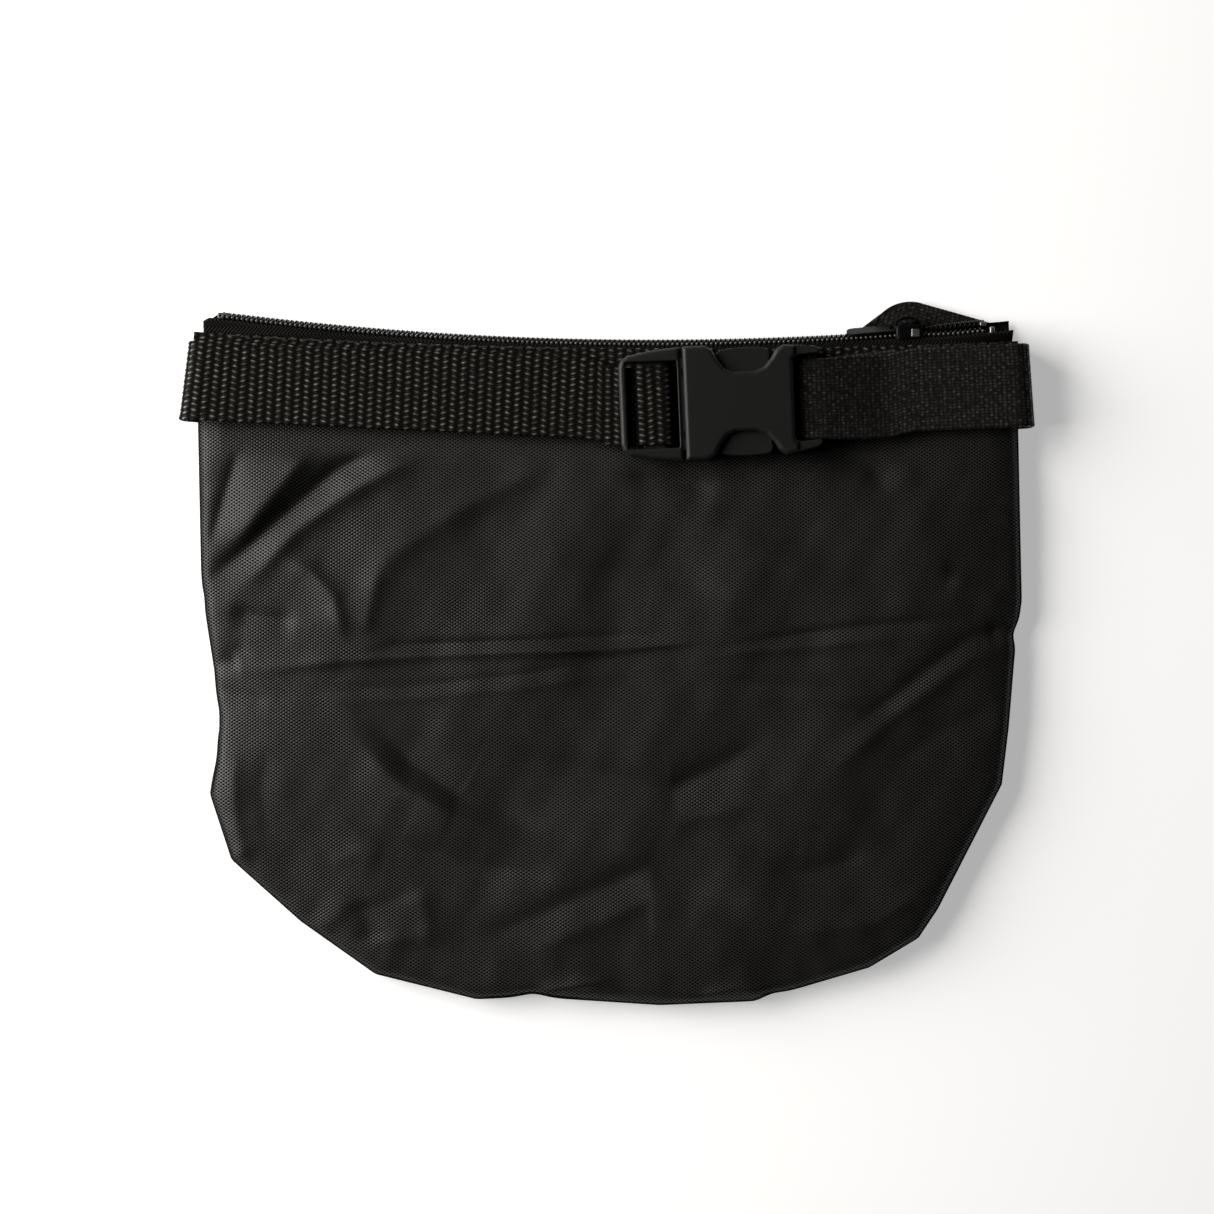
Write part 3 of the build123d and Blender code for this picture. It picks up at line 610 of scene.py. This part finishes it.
def seam_pucker(edge, where):
    """Small gathers beside the seam."""
    waves = np.sin(where * 330) * np.sin(where * 121 + 1.3) + 0.6 * np.sin(where * 610 + 2)
    return waves * np.exp(-edge / 7) * (1 - np.exp(-edge / 1.5))


def front_heights(plan, edge, inland, pucker, under_belt):
    """The front: a low dome with its folds."""
    crown = CROWN + 0.5 * smooth_noise(plan, 70, 4) * inland
    relief = fold_heights(plan) * np.clip(edge / 1.5, 0, 1) + 0.18 * pucker
    relief += 0.10 * smooth_noise(plan, 16, 8) + 0.22 * smooth_noise(plan, 38, 21)
    height = SEAM_Z + (crown - SEAM_Z) * inland + relief * (1 - under_belt)
    return height * (1 - under_belt) + np.minimum(height, PRESSED_TOP) * under_belt


def back_heights(plan, inland, pucker, under_belt):
    """The back: slack cloth, which lies on the ground."""
    low = BACK_LOW_Z + 0.25 * (1 + smooth_noise(plan, 45, 5))
    relief = 0.35 * pucker + 0.12 * smooth_noise(plan, 14, 3)
    height = np.maximum(SEAM_Z - (SEAM_Z - low) * inland + relief, GROUND_CLEARANCE)
    return height * (1 - under_belt) + np.maximum(height, PRESSED_LOW) * under_belt


def pouch_surface(name, front):
    """The front or the back, as rings of points from the middle out to the seam."""
    border = pinched_border()
    count = len(border)
    shares = 1 - (1 - np.linspace(0, 1, RINGS)) ** RING_CROWDING
    plan = (shares[:, None, None] * border[None]).reshape(-1, 2)
    plan = plan + np.array([1e-4, 0])    # off the exact middle, where directions have no meaning
    edge, where, _ = distance_to_path(plan, border, closed=True)
    inland = 1 - ROLL_SHARE * np.exp(-edge / ROLL_RISE) - (1 - ROLL_SHARE) * np.exp(-edge / BODY_RISE)
    under_belt = 1 / (1 + np.exp(-(plan[:, 1] - BELT_FROM) / BELT_EASE))
    pucker = seam_pucker(edge, where)
    faces = ring_faces(RINGS, count)
    if front:
        height = front_heights(plan, edge, inland, pucker, under_belt)
    else:
        height = back_heights(plan, inland, pucker, under_belt)
        faces = faces[:, ::-1]
    points = np.column_stack([plan, height])
    points[-count:, 2] = SEAM_Z
    return make_piece(name, points, faces, NYLON, "pouch")


def pouch():
    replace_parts(pouch_surface("pouch_front", True), "front_panel")
    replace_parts(pouch_surface("pouch_back", False), "back_panel")


# ---------------------------------------------------------------- webbing
TOP_STEP = 0.29
UNDER_STEP = 0.9
EDGE_ROUND = 0.6
EDGE_CORD = 1.2               # the width of the firm cord along each edge
UNDER_SHARE = 0.12            # how high the floats that dive still stand, against those on top


def weave_height(along, across, pitch, depth, width):
    """Plain weave of thick yarns: raised beads in a brick pattern, a firm cord at each edge."""
    zig = pitch[0] - np.abs((along + pitch[0] / 2) % (2 * pitch[0]) - pitch[0])
    warp = np.cos(math.pi * along / pitch[0])
    weft = np.cos(math.pi * (across + SLANT * zig) / pitch[1])
    size = np.abs(warp) ** 2.0 * np.abs(weft) ** 1.1
    beads = size * np.where(warp * weft > 0, 1.0, UNDER_SHARE)
    cord = 0.55 + 0.35 * np.cos(math.tau * along / pitch[0])
    edge = np.clip((np.abs(across) - (width / 2 - EDGE_CORD)) / 0.4, 0, 1)
    return depth * (beads * (1 - edge) + cord * edge)


def ribbon(name, path, angles, material, body, pitch, depth, width=WEB_WIDTH, shear=None, taper=None):
    """Webbing along a dense path; angles is the belt's heading in plan at each point of it."""
    along = arc_length(path)
    tangent = unit(np.gradient(path, axis=0))
    side = np.stack([-np.sin(angles), np.cos(angles), np.zeros(len(angles))], -1)
    normal = unit(np.cross(tangent, side))
    top_count = int(width / TOP_STEP) + 1
    low_count = int(width / UNDER_STEP) + 1
    across = np.concatenate([np.linspace(-width / 2, width / 2, top_count),
                             np.linspace(width / 2, -width / 2, low_count)])
    facing = np.concatenate([np.ones(top_count), -np.ones(low_count)])
    drop = np.clip((np.abs(across) - (width / 2 - EDGE_ROUND)) / EDGE_ROUND, 0, 1)
    half = WEB_THICK / 2 * np.sqrt(np.clip(1 - drop ** 2, 0.02, 1))
    s, t = np.meshgrid(along, across, indexing="ij")
    relief = (weave_height(s, t, pitch, depth, width) - depth) * (1 - drop ** 2)[None]
    offset = facing[None] * (half[None] + relief)
    points = path[:, None] + side[:, None] * t[..., None] + normal[:, None] * offset[..., None]
    if shear is not None:
        points[..., 0] += shear[:, None] * t
    if taper is not None:
        points = points - side[:, None] * (t * (1 - taper[:, None]))[..., None]
    faces = capped_faces(*points.shape[:2])
    piece = make_piece(name, points.reshape(-1, 3), faces, material, body)
    layer = piece.data.uv_layers.new(name=WEAVE_UV)
    index = np.empty(len(piece.data.loops), int)
    piece.data.loops.foreach_get("vertex_index", index)
    weave = np.column_stack([s.ravel(), t.ravel()])[index]
    layer.data.foreach_set("uv", weave.ravel())
    return piece


def on_left(along, height):
    """A point on the belt's left end, measured from its fold."""
    return in_frame(LEFT_FOLD, LEFT_ANGLE, along, height)


def on_right(along, height):
    """The same on its right end."""
    return in_frame(RIGHT_FOLD, RIGHT_ANGLE, along, height)


def on_buckle(along, height):
    """A point on the buckle's centre line, measured from its left end."""
    return in_frame(BUCKLE_ORIGIN, BUCKLE_ANGLE, along, height)


# The routes below give places on the belt's path, each with the radius of its bend there.
FOLD_LEAN = 0.08              # the wrapped end leans, so its top corner sits further in
LEAN_FADE = 25.0
WRAP_RADIUS = 5.0             # the belt's corners where it wraps the pouch
BAR_RADIUS = 1.3              # and where it wraps a bar of the buckle
LEG_Z = WEB_THICK / 2         # the belt's legs lie on the ground, behind the pouch
BACK_LEG = 58.0               # how far the left leg reaches
TAIL_END = 26.0               # how near the fold the tail ends
LEFT_WIDTH, LEFT_DEPTH = 24.0, 0.46
TURN_IN, TURN_OUT = 118.0, 88.0    # along the live run, and back from the tail's end
TURN_EASE = 16.0              # over which the belt turns from its own heading to the buckle's


def strap_left():
    """The belt's left end: the back leg, round the fold, through the buckle and back as the tail."""
    route = [
        (on_left(BACK_LEG, LEG_Z), 0), (on_left(0, LEG_Z), WRAP_RADIUS), (on_left(0, LIVE_Z), WRAP_RADIUS),
        (on_left(124, LIVE_Z), 30), (on_buckle(-2, LIVE_Z), 20), (on_buckle(4.8, LIVE_Z), BAR_RADIUS),
        (on_buckle(5.2, 19.25), BAR_RADIUS), (on_buckle(14.9, 19.0), BAR_RADIUS),
        (on_buckle(15.4, TAIL_Z), BAR_RADIUS), (on_buckle(-1, TAIL_Z), 20), (on_left(122, TAIL_Z), 30),
        (on_left(TAIL_END, TAIL_Z), 0),
    ]
    path = rounded(*zip(*route), 0.46)
    turn_in = BACK_LEG + LIVE_Z + TURN_IN
    turn_out = arc_length(path)[-1] - TURN_OUT
    marks = (0, turn_in, turn_in + TURN_EASE, turn_out - TURN_EASE, turn_out)
    headings = (LEFT_ANGLE, LEFT_ANGLE, BUCKLE_ANGLE, BUCKLE_ANGLE, LEFT_ANGLE)
    angles = np.interp(arc_length(path), marks, headings)
    lean = FOLD_LEAN * np.clip(1 - (path[:, 0] - LEFT_FOLD[0]) / LEAN_FADE, 0, 1)
    piece = ribbon("strap_left_webbing", path, angles, WEBBING, None, LEFT_WEAVE, LEFT_DEPTH,
                   LEFT_WIDTH, lean)
    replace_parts(piece, "strap_left")
    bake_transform(piece)


RIGHT_LEAN, RIGHT_LEAN_FADE = 0.03, 12.0
RIGHT_WIDTH, RIGHT_DEPTH = 25.3, 0.14
LOOP_END = 53.4               # the loop round the buckle's bar reaches in to here
LOOP_TOP = 18.4
LOOP_PINCH = 0.04             # the webbing gathers slightly between the buckle's horns
HORNS_TO, HORNS_EASE = 72.0, 8.0    # the X that the horns reach


def strap_right():
    """The belt's right end: from its end, round the buckle's bar, over the fold and behind the pouch."""
    route = [
        (on_right(40, TAIL_Z), 0), (on_buckle(62, TAIL_Z), 20), (on_buckle(LOOP_END, TAIL_Z), BAR_RADIUS),
        (on_buckle(LOOP_END, LOOP_TOP), BAR_RADIUS), (on_buckle(61.2, LOOP_TOP), 14),
        (on_buckle(81, LIVE_Z), 16), (on_right(36, LIVE_Z), 30), (on_right(0, LIVE_Z), WRAP_RADIUS),
        (on_right(0, LEG_Z), WRAP_RADIUS), (on_right(9, LEG_Z), 0),
    ]
    path = rounded(*zip(*route), 0.55)
    angles = np.full(len(path), BUCKLE_ANGLE)
    lean = -RIGHT_LEAN * np.clip(1 - (RIGHT_FOLD[0] - path[:, 0]) / RIGHT_LEAN_FADE, 0, 1) ** 2
    inside_horns = np.clip((HORNS_TO - path[:, 0]) / HORNS_EASE, 0, 1)
    taper = 1 - LOOP_PINCH * inside_horns
    piece = ribbon("strap_right_webbing", path, angles, WEBBING_DULL_SHADED, "pouch", RIGHT_WEAVE, RIGHT_DEPTH,
                   RIGHT_WIDTH, lean, taper)
    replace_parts(piece, "strap_right")


SLACK_TURN = np.array([91.6, 97.2])
SLACK_ENDS = {"under": np.array([62.0, 74.8]), "over": np.array([117.5, 89.9])}
SLACK_LEVEL = {"under": 0.5, "over": 1.45}    # heights, in thicknesses of webbing


def slack_fold():
    """The belt's spare webbing, doubled back on itself behind the zip's open end."""
    for name, end in SLACK_ENDS.items():
        lead = (SLACK_TURN - end) / np.linalg.norm(SLACK_TURN - end)
        z = WEB_THICK * SLACK_LEVEL[name]
        tip = SLACK_TURN + lead * (WEB_WIDTH / 2 - 0.2)
        path = resample(np.array([(*end, LEG_Z), (*(end + lead * 12), z), (*tip, z)]), 0.5)
        beyond = np.clip((path[:, :2] - SLACK_TURN) @ lead, 0, None)
        taper = np.sqrt(np.clip(1 - (beyond / (WEB_WIDTH / 2)) ** 2, 0.02, 1))
        heading = np.full(len(path), math.atan2(lead[1], lead[0]))
        ribbon("slack_" + name, path, heading, WEBBING_DULL_SHADED, "pouch", RIGHT_WEAVE, 0.4, taper=taper)


SEWN_STEP, SEWN_DEPTH = 0.55, 0.25
STRIP_ENDS = (-127.3, 124.0)
STRIP_SAG = ((-126, 87.2), (-3, 82.3), (124, 84.4))    # three points of the strip's shallow curve


def front_strip():
    """The strip sewn along the front of the mouth."""
    xs = np.linspace(*STRIP_ENDS, 400)
    curve = np.polyfit(*zip(*STRIP_SAG), 2)
    path = resample(np.column_stack([xs, np.polyval(curve, xs), np.full(len(xs), STRIP_Z)]), SEWN_STEP)
    heading = np.arctan2(np.gradient(path[:, 1]), np.gradient(path[:, 0]))
    piece = ribbon("front_strip_webbing", path, heading, WEBBING, "pouch", LEFT_WEAVE, SEWN_DEPTH)
    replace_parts(piece, "front_webbing_strip")


def back_run():
    """The belt's straight run, sewn along the back."""
    _, y, z = (BACK_LOW + BACK_HIGH) / 2
    path = resample(np.array([(BACK_LOW[0], y, z), (BACK_HIGH[0], y, z)]), SEWN_STEP)
    piece = ribbon("back_run_webbing", path, np.zeros(len(path)), WEBBING, "pouch", LEFT_WEAVE, SEWN_DEPTH)
    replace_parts(piece, "belt_back_run")


# ---------------------------------------------------------------- zip
# A side is 1 for the zip's front half and -1 for its back half.
HALF = {1: "front", -1: "back"}
PART_FROM, PART_OVER = 87.0, 25.0    # beyond this X the halves part, slowly and then faster
SPREAD_FROM, SPREAD_OVER = 93.0, 5.0
SPREAD = {1: -0.9, -1: 1.3}
COIL_FROM = -119.0            # under the left stop
COIL_PITCH = 1.47
COIL_TILT = 0.35              # the coils lean, so the back one shows above the front one
COIL_RISE = 1.35              # of a coil's middle from the zip's
COIL_PARTING = 1.2
COIL_SWING = (0.85, 1.1)      # the spiral's half width and half height
YARN_RADIUS = 0.33


def zip_line_y(x):
    """The Y of the zip's arc."""
    return ZIP_CENTRE[1] - np.sqrt(ZIP_RADIUS ** 2 - (x - ZIP_CENTRE[0]) ** 2)


def parting(x):
    """How far the halves have parted in height, from 0 at the slider to about 1 at the open end."""
    return (np.maximum(0.0, x - PART_FROM) / PART_OVER) ** 2


def drift(x, side):
    """How far a half of the zip leaves the zip line beyond the slider."""
    beyond = np.maximum(x - SPREAD_FROM, 0.0)
    return SPREAD[side] * (1 - np.exp(-beyond / SPREAD_OVER))


TAPE_HALF_THICK = 0.22
TAPE_PARTING = 1.6
TAPE_FOOT_Z = {1: 9.65, -1: 3.9}     # where each tape lies on its side of the pouch
TAPE_FOOT = -5.6                     # and where it turns up; below 0 is the pouch's side of the zip
TAPE_LIP = {1: [(-2.0, 3.05), (-1.3, 2.8), (-1.3, 1.2)], -1: [(-1.0, 3.05), (0.2, 2.9), (0.2, 2.4)]}
TAPE_CORNER = ((-124.1, 102.9), (-120.4, 105.2))
TAPE_CORNER_SLOPE = (TAPE_CORNER[1][1] - TAPE_CORNER[0][1]) / (TAPE_CORNER[1][0] - TAPE_CORNER[0][0])


def tape_profile(side):
    """A tape's section as a closed ring: flat on the pouch, then up and over its coil."""
    foot = TAPE_FOOT_Z[side]
    corners = [(-14.0, foot, 0), (TAPE_FOOT, foot, 0), (-4.2, ZIP_Z + side * 3.0, 0)]
    corners += [(n, ZIP_Z + side * rise, 0) for n, rise in TAPE_LIP[side]]
    middle = rounded(corners, [0, 1.0, 1.2, 0.6, 0.3, 0], 0.6)[:, :2]
    tangent = unit(np.gradient(middle, axis=0))
    normal = np.column_stack([-tangent[:, 1], tangent[:, 0]]) * TAPE_HALF_THICK
    return np.vstack([middle + normal, (middle - normal)[::-1]])


def zip_tape(side):
    """One tape, swept along the zip. Its left end's top corner is trimmed off slantwise."""
    name = HALF[side] + "_zip_tape"
    low, high = node_box(name)
    xs = np.arange(low[0], high[0], 0.9)
    ring = tape_profile(side)
    at_coil = np.clip((ring[:, 0] + 5.0) / 4.0, 0, 1)
    y = zip_line_y(xs)[:, None] + ring[None, :, 0] + drift(xs, side)[:, None] * at_coil[None]
    z = ring[None, :, 1] + side * TAPE_PARTING * parting(xs)[:, None] * at_coil[None]
    x = np.repeat(xs[:, None], len(ring), 1)
    corner = TAPE_CORNER[0][1] + (x - TAPE_CORNER[0][0]) * TAPE_CORNER_SLOPE
    y = np.where(x < TAPE_CORNER[1][0], np.minimum(y, corner), y)
    points = np.stack([x, y, z], -1).reshape(-1, 3)
    faces = capped_faces(len(xs), len(ring))
    piece = make_piece(name + "_cloth", points, faces, TAPE, "pouch")
    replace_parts(piece, name)


def spiral_tube(name, path, radius, sides):
    """A tube along a spiral about the zip line, with a frame that doesn't twist."""
    tangent = unit(np.gradient(path, axis=0))
    a = unit(np.cross(tangent, np.array([1.0, 0, 0])))
    b = np.cross(tangent, a)
    turn = np.linspace(0, math.tau, sides, endpoint=False)
    ring = a[:, None] * np.cos(turn)[None, :, None] + b[:, None] * np.sin(turn)[None, :, None]
    points = (path[:, None] + radius * ring).reshape(-1, 3)
    return make_piece(name, points, ring_faces(len(path), sides), COIL, "pouch")


def zip_coil(side):
    """One half of the coil: a flattened spiral of monofilament."""
    name = HALF[side] + "_zip_coil"
    turns = (node_box(name)[1][0] - COIL_FROM) / COIL_PITCH
    t = np.linspace(0, turns, int(turns * (18)))
    x = COIL_FROM + t * COIL_PITCH
    phase = t * math.tau + (0 if side > 0 else math.pi)
    y = zip_line_y(x) + drift(x, side) - side * COIL_TILT + COIL_SWING[0] * np.sin(phase)
    z = ZIP_Z + side * (COIL_RISE + COIL_PARTING * parting(x)) + COIL_SWING[1] * np.cos(phase)
    path = np.column_stack([x, y, z])
    piece = spiral_tube(name + "_spiral", path, YARN_RADIUS, 7)
    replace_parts(piece, name)


CROWN_RADIUS = {1: 0.36, -1: 0.28}
CROWN_PLACE = {1: (-0.25, 1.25), -1: (1.05, 0.9)}    # from the zip line, and above the coil's middle
CROWN_HIGHLIGHT_LOOKS = {1: CROWN_HIGHLIGHT_PAINT, -1: BACK_CROWN_HIGHLIGHT_PAINT}


def coil_crown_highlights(side):
    """Light glossy balls on the outer turn of every loop: painted highlights where the coil catches the
    light.
    """
    end = node_box(HALF[side] + "_zip_coil")[1][0] - 0.3
    xs = np.arange(COIL_FROM + 1.0, end, COIL_PITCH) + (0 if side > 0 else COIL_PITCH / 2)
    aside, above = CROWN_PLACE[side]
    y = zip_line_y(xs) + drift(xs, side) + aside
    z = ZIP_Z + side * (COIL_RISE + COIL_PARTING * parting(xs)) + above
    ball = bmesh.new()
    bmesh.ops.create_icosphere(ball, subdivisions=2, radius=CROWN_RADIUS[side])
    dome = np.array([v.co for v in ball.verts])
    faces = np.array([[v.index for v in f.verts] for f in ball.faces])
    ball.free()
    centres = np.column_stack([xs, y, z])
    points = (centres[:, None] + dome[None]).reshape(-1, 3)
    every = (faces[None] + (np.arange(len(xs)) * len(dome))[:, None, None]).reshape(-1, 3)
    make_piece(HALF[side] + "_zip_crown_highlights", points, every, CROWN_HIGHLIGHT_LOOKS[side], "pouch")


# ---------------------------------------------------------------- hard parts
def softened(node_name, voxel, passes, material):
    """The CAD part with its edges rounded the way moulding or casting leaves them."""
    source = frame["nodes"][node_name]
    mesh = source.data.copy()
    mesh.name = node_name + "_soft"
    piece = new_object(node_name + "_finished", mesh)
    remesh = piece.modifiers.new("voxels", "REMESH")
    remesh.mode = "VOXEL"
    remesh.voxel_size = voxel * MM
    smooth = piece.modifiers.new("edges", "SMOOTH")
    smooth.factor = 0.5
    smooth.iterations = passes
    depsgraph = bpy.context.evaluated_depsgraph_get()
    final = bpy.data.meshes.new_from_object(piece.evaluated_get(depsgraph))
    piece.modifiers.clear()
    piece.data = final
    final.materials.clear()
    final.materials.append(material)
    final.polygons.foreach_set("use_smooth", [True] * len(final.polygons))
    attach(piece, source["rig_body"])
    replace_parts(piece, node_name)
    return piece


def vertex_places(piece):
    """A piece's vertices, in metres."""
    points = np.empty(3 * len(piece.data.vertices))
    piece.data.vertices.foreach_get("co", points)
    return points.reshape(-1, 3)


TAB_LEAN = math.radians(21)   # the tab lies twisted over, its face turned up
TAB_DROP = math.radians(-1.2)
TAB_SET = 1.5                 # the tab is cranked down to lie on the coils
TAB_NECK = 4.0                # over this length from its pivot


def turned_tab(tab):
    """Twist the tab about its length and let its tip drop on to the coils."""
    joint = next(j for j in frame["joints"] if j["name"] == "pull_tab_swing")
    pivot = np.array(joint["pos_m"])
    rel = vertex_places(tab) - pivot
    tip = rel[rel[:, 0].argmin()] * (1, 1, 0)
    length = tip / np.linalg.norm(tip)
    upward = np.array([length[1], -length[0], 0.0])
    far = np.clip(rel @ length / (TAB_NECK * MM), 0, 1)
    twist, drop = TAB_LEAN * far, TAB_DROP * far
    n, z, u = rel @ upward, rel[:, 2], rel @ length
    n, z = n * np.cos(twist) - z * np.sin(twist), n * np.sin(twist) + z * np.cos(twist)
    n = n - TAB_SET * MM * far
    u, n = u * np.cos(drop) + n * np.sin(drop), n * np.cos(drop) - u * np.sin(drop)
    moved = pivot + u[:, None] * length + n[:, None] * upward + z[:, None] * np.array([0, 0, 1.0])
    tab.data.vertices.foreach_set("co", moved.ravel())


HORN_BEND_FROM = 51.0         # along the buckle
HORN_BEND = 0.16
HORN_SIDE = 6.0               # the lower horn lies beyond this distance from the centre line


def settled_horn(housing):
    """The lower horn leans in a little under the pull of the belt."""
    points = vertex_places(housing)
    ca, sa = math.cos(BUCKLE_ANGLE), math.sin(BUCKLE_ANGLE)
    rel = points[:, :2] / MM - BUCKLE_ORIGIN
    u, v = rel[:, 0] * ca + rel[:, 1] * sa, rel[:, 1] * ca - rel[:, 0] * sa
    on_horn = np.clip((-v - HORN_SIDE) / HORN_SIDE, 0, 1)
    lift = HORN_BEND * np.clip(u - HORN_BEND_FROM, 0, None) * on_horn * MM
    points[:, 0] -= lift * sa
    points[:, 1] += lift * ca
    housing.data.vertices.foreach_set("co", points.ravel())


BROKEN_EDGE = 0.22            # of the block's smallest side


def nugget(name, low, high, material, body):
    """A small metal block with broken edges, given by its corners in millimetres."""
    bpy.ops.mesh.primitive_cube_add(size=1)
    piece = bpy.context.object
    piece.name = name
    low, high = np.array(low), np.array(high)
    corners = np.array([v.co for v in piece.data.vertices]) * (high - low) + (low + high) / 2
    piece.data.vertices.foreach_set("co", (corners * MM).ravel())
    bevel = piece.modifiers.new("edges", "BEVEL")
    bevel.width = BROKEN_EDGE * min(high - low) * MM
    bevel.segments = 2
    piece.data.materials.append(material)
    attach(piece, body)
    return piece


def stops():
    """The left end's staple, and the crimps at the ends of both parted halves."""
    lie = zip_line_y(-118.0)
    staple = nugget("left_stop", (-119.6, lie - 0.9, 5.0), (-116.2, lie + 1.0, 9.7), STOP_DARK, "pouch")
    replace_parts(staple, "zip_bottom_stop")
    back = nugget("right_stop_back", (112.5, 101.9, 4.0), (114.6, 103.1, 6.6), STOP, "pouch")
    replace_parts(back, "zip_top_stops")
    nugget("right_stop_front", (115.0, 99.2, 8.6), (116.5, 101.3, 10.8), STOP, "pouch")
    nugget("right_stop_leg", (113.0, 99.4, 9.0), (113.8, 100.3, 10.8), STOP, "pouch")


def slider_nose_and_painted_highlights():
    """The nose behind the bridge, and two light metal patches on the slider's front: a painted highlight
    on its end and a painted glint along its left edge.
    """
    top = node_box("slider_bridge")[1][2]
    nugget("slider_nose", (92.4, 100.4, top - 3.4), (95.2, 102.7, top - 1.0), ENAMEL, "zip_slider")
    # Light metal patches stand in for the slider's highlight and glint: painted highlights.
    front = node_box("slider_body")[1][2]
    nugget("slider_end_painted_highlight", (91.2, 98.2, front - 0.5), (93.6, 100.6, front + 0.1), STOP, "zip_slider")
    nugget("slider_edge_painted_glint", (86.8, 98.6, front - 0.6), (87.0, 100.6, front + 0.05), STOP_DARK,
           "zip_slider")


PLASTIC_VOXEL = 0.3
PRONG_VOXEL = PLASTIC_VOXEL * 0.8
SLIDER_VOXEL = 0.16


def hard_parts():
    settled_horn(softened("buckle_female", PLASTIC_VOXEL, 3, PLASTIC))
    softened("buckle_male", PLASTIC_VOXEL, 3, PLASTIC)
    softened("prong_upper", PRONG_VOXEL, 3, PLASTIC)
    softened("prong_lower", PRONG_VOXEL, 3, PLASTIC)
    softened("slider_body", SLIDER_VOXEL, 3, ENAMEL)
    softened("slider_bridge", SLIDER_VOXEL, 3, ENAMEL)
    turned_tab(softened("pull_tab", 0.2, 2, ENAMEL))
    stops()
    slider_nose_and_painted_highlights()


# ---------------------------------------------------------------- stitching and binding
def stitches():
    for name in ("strip_stitching", "belt_back_stitching"):
        softened(name, 0.14, 2, THREAD)


def dress_inside():
    """The seam's binding keeps its CAD shape, in the colour of the zip tape."""
    for slot in frame["nodes"]["seam_binding"].material_slots:
        slot.material = TAPE


# ---------------------------------------------------------------- stage, light and camera
FLOOR_SIZE, FLOOR_DROP = 6.0, 0.0004     # metres
FLOOR_GLOW = 0.42             # the sheet is lit from beneath
HORIZON_LIGHT = 0.5
OVERHEAD_LIGHT = 0.08
DIM_FROM, DIM_TO = 0.35, 0.85            # how far up the sky the light falls off
KEY_AZIMUTH, KEY_ELEVATION = 162, 29     # degrees
KEY_DISTANCE, KEY_SIZE = 1.1, 0.95       # metres
KEY_POWER = 24
KEY_COLOUR = (1.0, 0.98, 0.945)
EYE = (-0.0012, 0.0162, 1.0345)          # the camera looks straight down
LENS = 100


def stage():
    """A pale glowing sheet, which is see-through from below."""
    bpy.ops.mesh.primitive_plane_add(size=FLOOR_SIZE, location=(0, 0, 0))
    floor = bpy.context.object
    floor.name = "floor"
    floor.location.z = -FLOOR_DROP
    material, tree, bsdf = new_material("pale_floor")
    bsdf.inputs["Base Color"].default_value = (0.9, 0.9, 0.9, 1)
    bsdf.inputs["Roughness"].default_value = 0.9
    bsdf.inputs["Specular IOR Level"].default_value = 0.1
    bsdf.inputs["Emission Color"].default_value = (1, 1, 1, 1)
    bsdf.inputs["Emission Strength"].default_value = FLOOR_GLOW
    geometry = node(tree, "ShaderNodeNewGeometry")
    clear = node(tree, "ShaderNodeBsdfTransparent")
    mix = node(tree, "ShaderNodeMixShader")
    output = tree.nodes["Material Output"]
    tree.links.new(geometry.outputs["Backfacing"], mix.inputs[0])
    tree.links.new(bsdf.outputs[0], mix.inputs[1])
    tree.links.new(clear.outputs[0], mix.inputs[2])
    tree.links.new(mix.outputs[0], output.inputs["Surface"])
    floor.data.materials.append(material)


def key_light():
    """A big soft lamp, low on the left, facing the middle."""
    azimuth, elevation = math.radians(KEY_AZIMUTH), math.radians(KEY_ELEVATION)
    level = math.cos(elevation)
    toward = Vector((math.cos(azimuth) * level, math.sin(azimuth) * level, math.sin(elevation)))
    light = bpy.data.lights.new("key", "AREA")
    light.energy = KEY_POWER
    light.size = KEY_SIZE
    light.color = KEY_COLOUR
    lamp = new_object("key", light)
    lamp.location = toward * KEY_DISTANCE
    lamp.rotation_euler = (-toward).to_track_quat("-Z", "Y").to_euler()


def light_tent():
    """A sky that is bright near the horizon and dim overhead."""
    world = bpy.data.worlds.new("studio")
    bpy.context.scene.world = world
    world.use_nodes = True
    tree = world.node_tree
    sky = axes_of(tree, node(tree, "ShaderNodeTexCoord").outputs["Generated"])
    strength = remap(tree, sky[2], HORIZON_LIGHT, OVERHEAD_LIGHT, DIM_FROM, DIM_TO,
                     interpolation_type="SMOOTHSTEP")
    tree.links.new(strength, tree.nodes["Background"].inputs["Strength"])


def camera():
    data = bpy.data.cameras.new("camera")
    data.lens = LENS
    data.sensor_width = 36
    data.clip_end = 20
    eye = new_object("camera", data)
    eye.location = EYE
    eye.rotation_euler = (0, 0, 0)
    bpy.context.scene.camera = eye


bpy.context.scene.view_settings.view_transform = "Standard"
pouch()
front_strip()
back_run()
strap_left()
strap_right()
slack_fold()
for build_half in (zip_tape, zip_coil, coil_crown_highlights):
    build_half(1)
    build_half(-1)
hard_parts()
stitches()
dress_inside()
stage()
light_tent()
key_light()
camera()
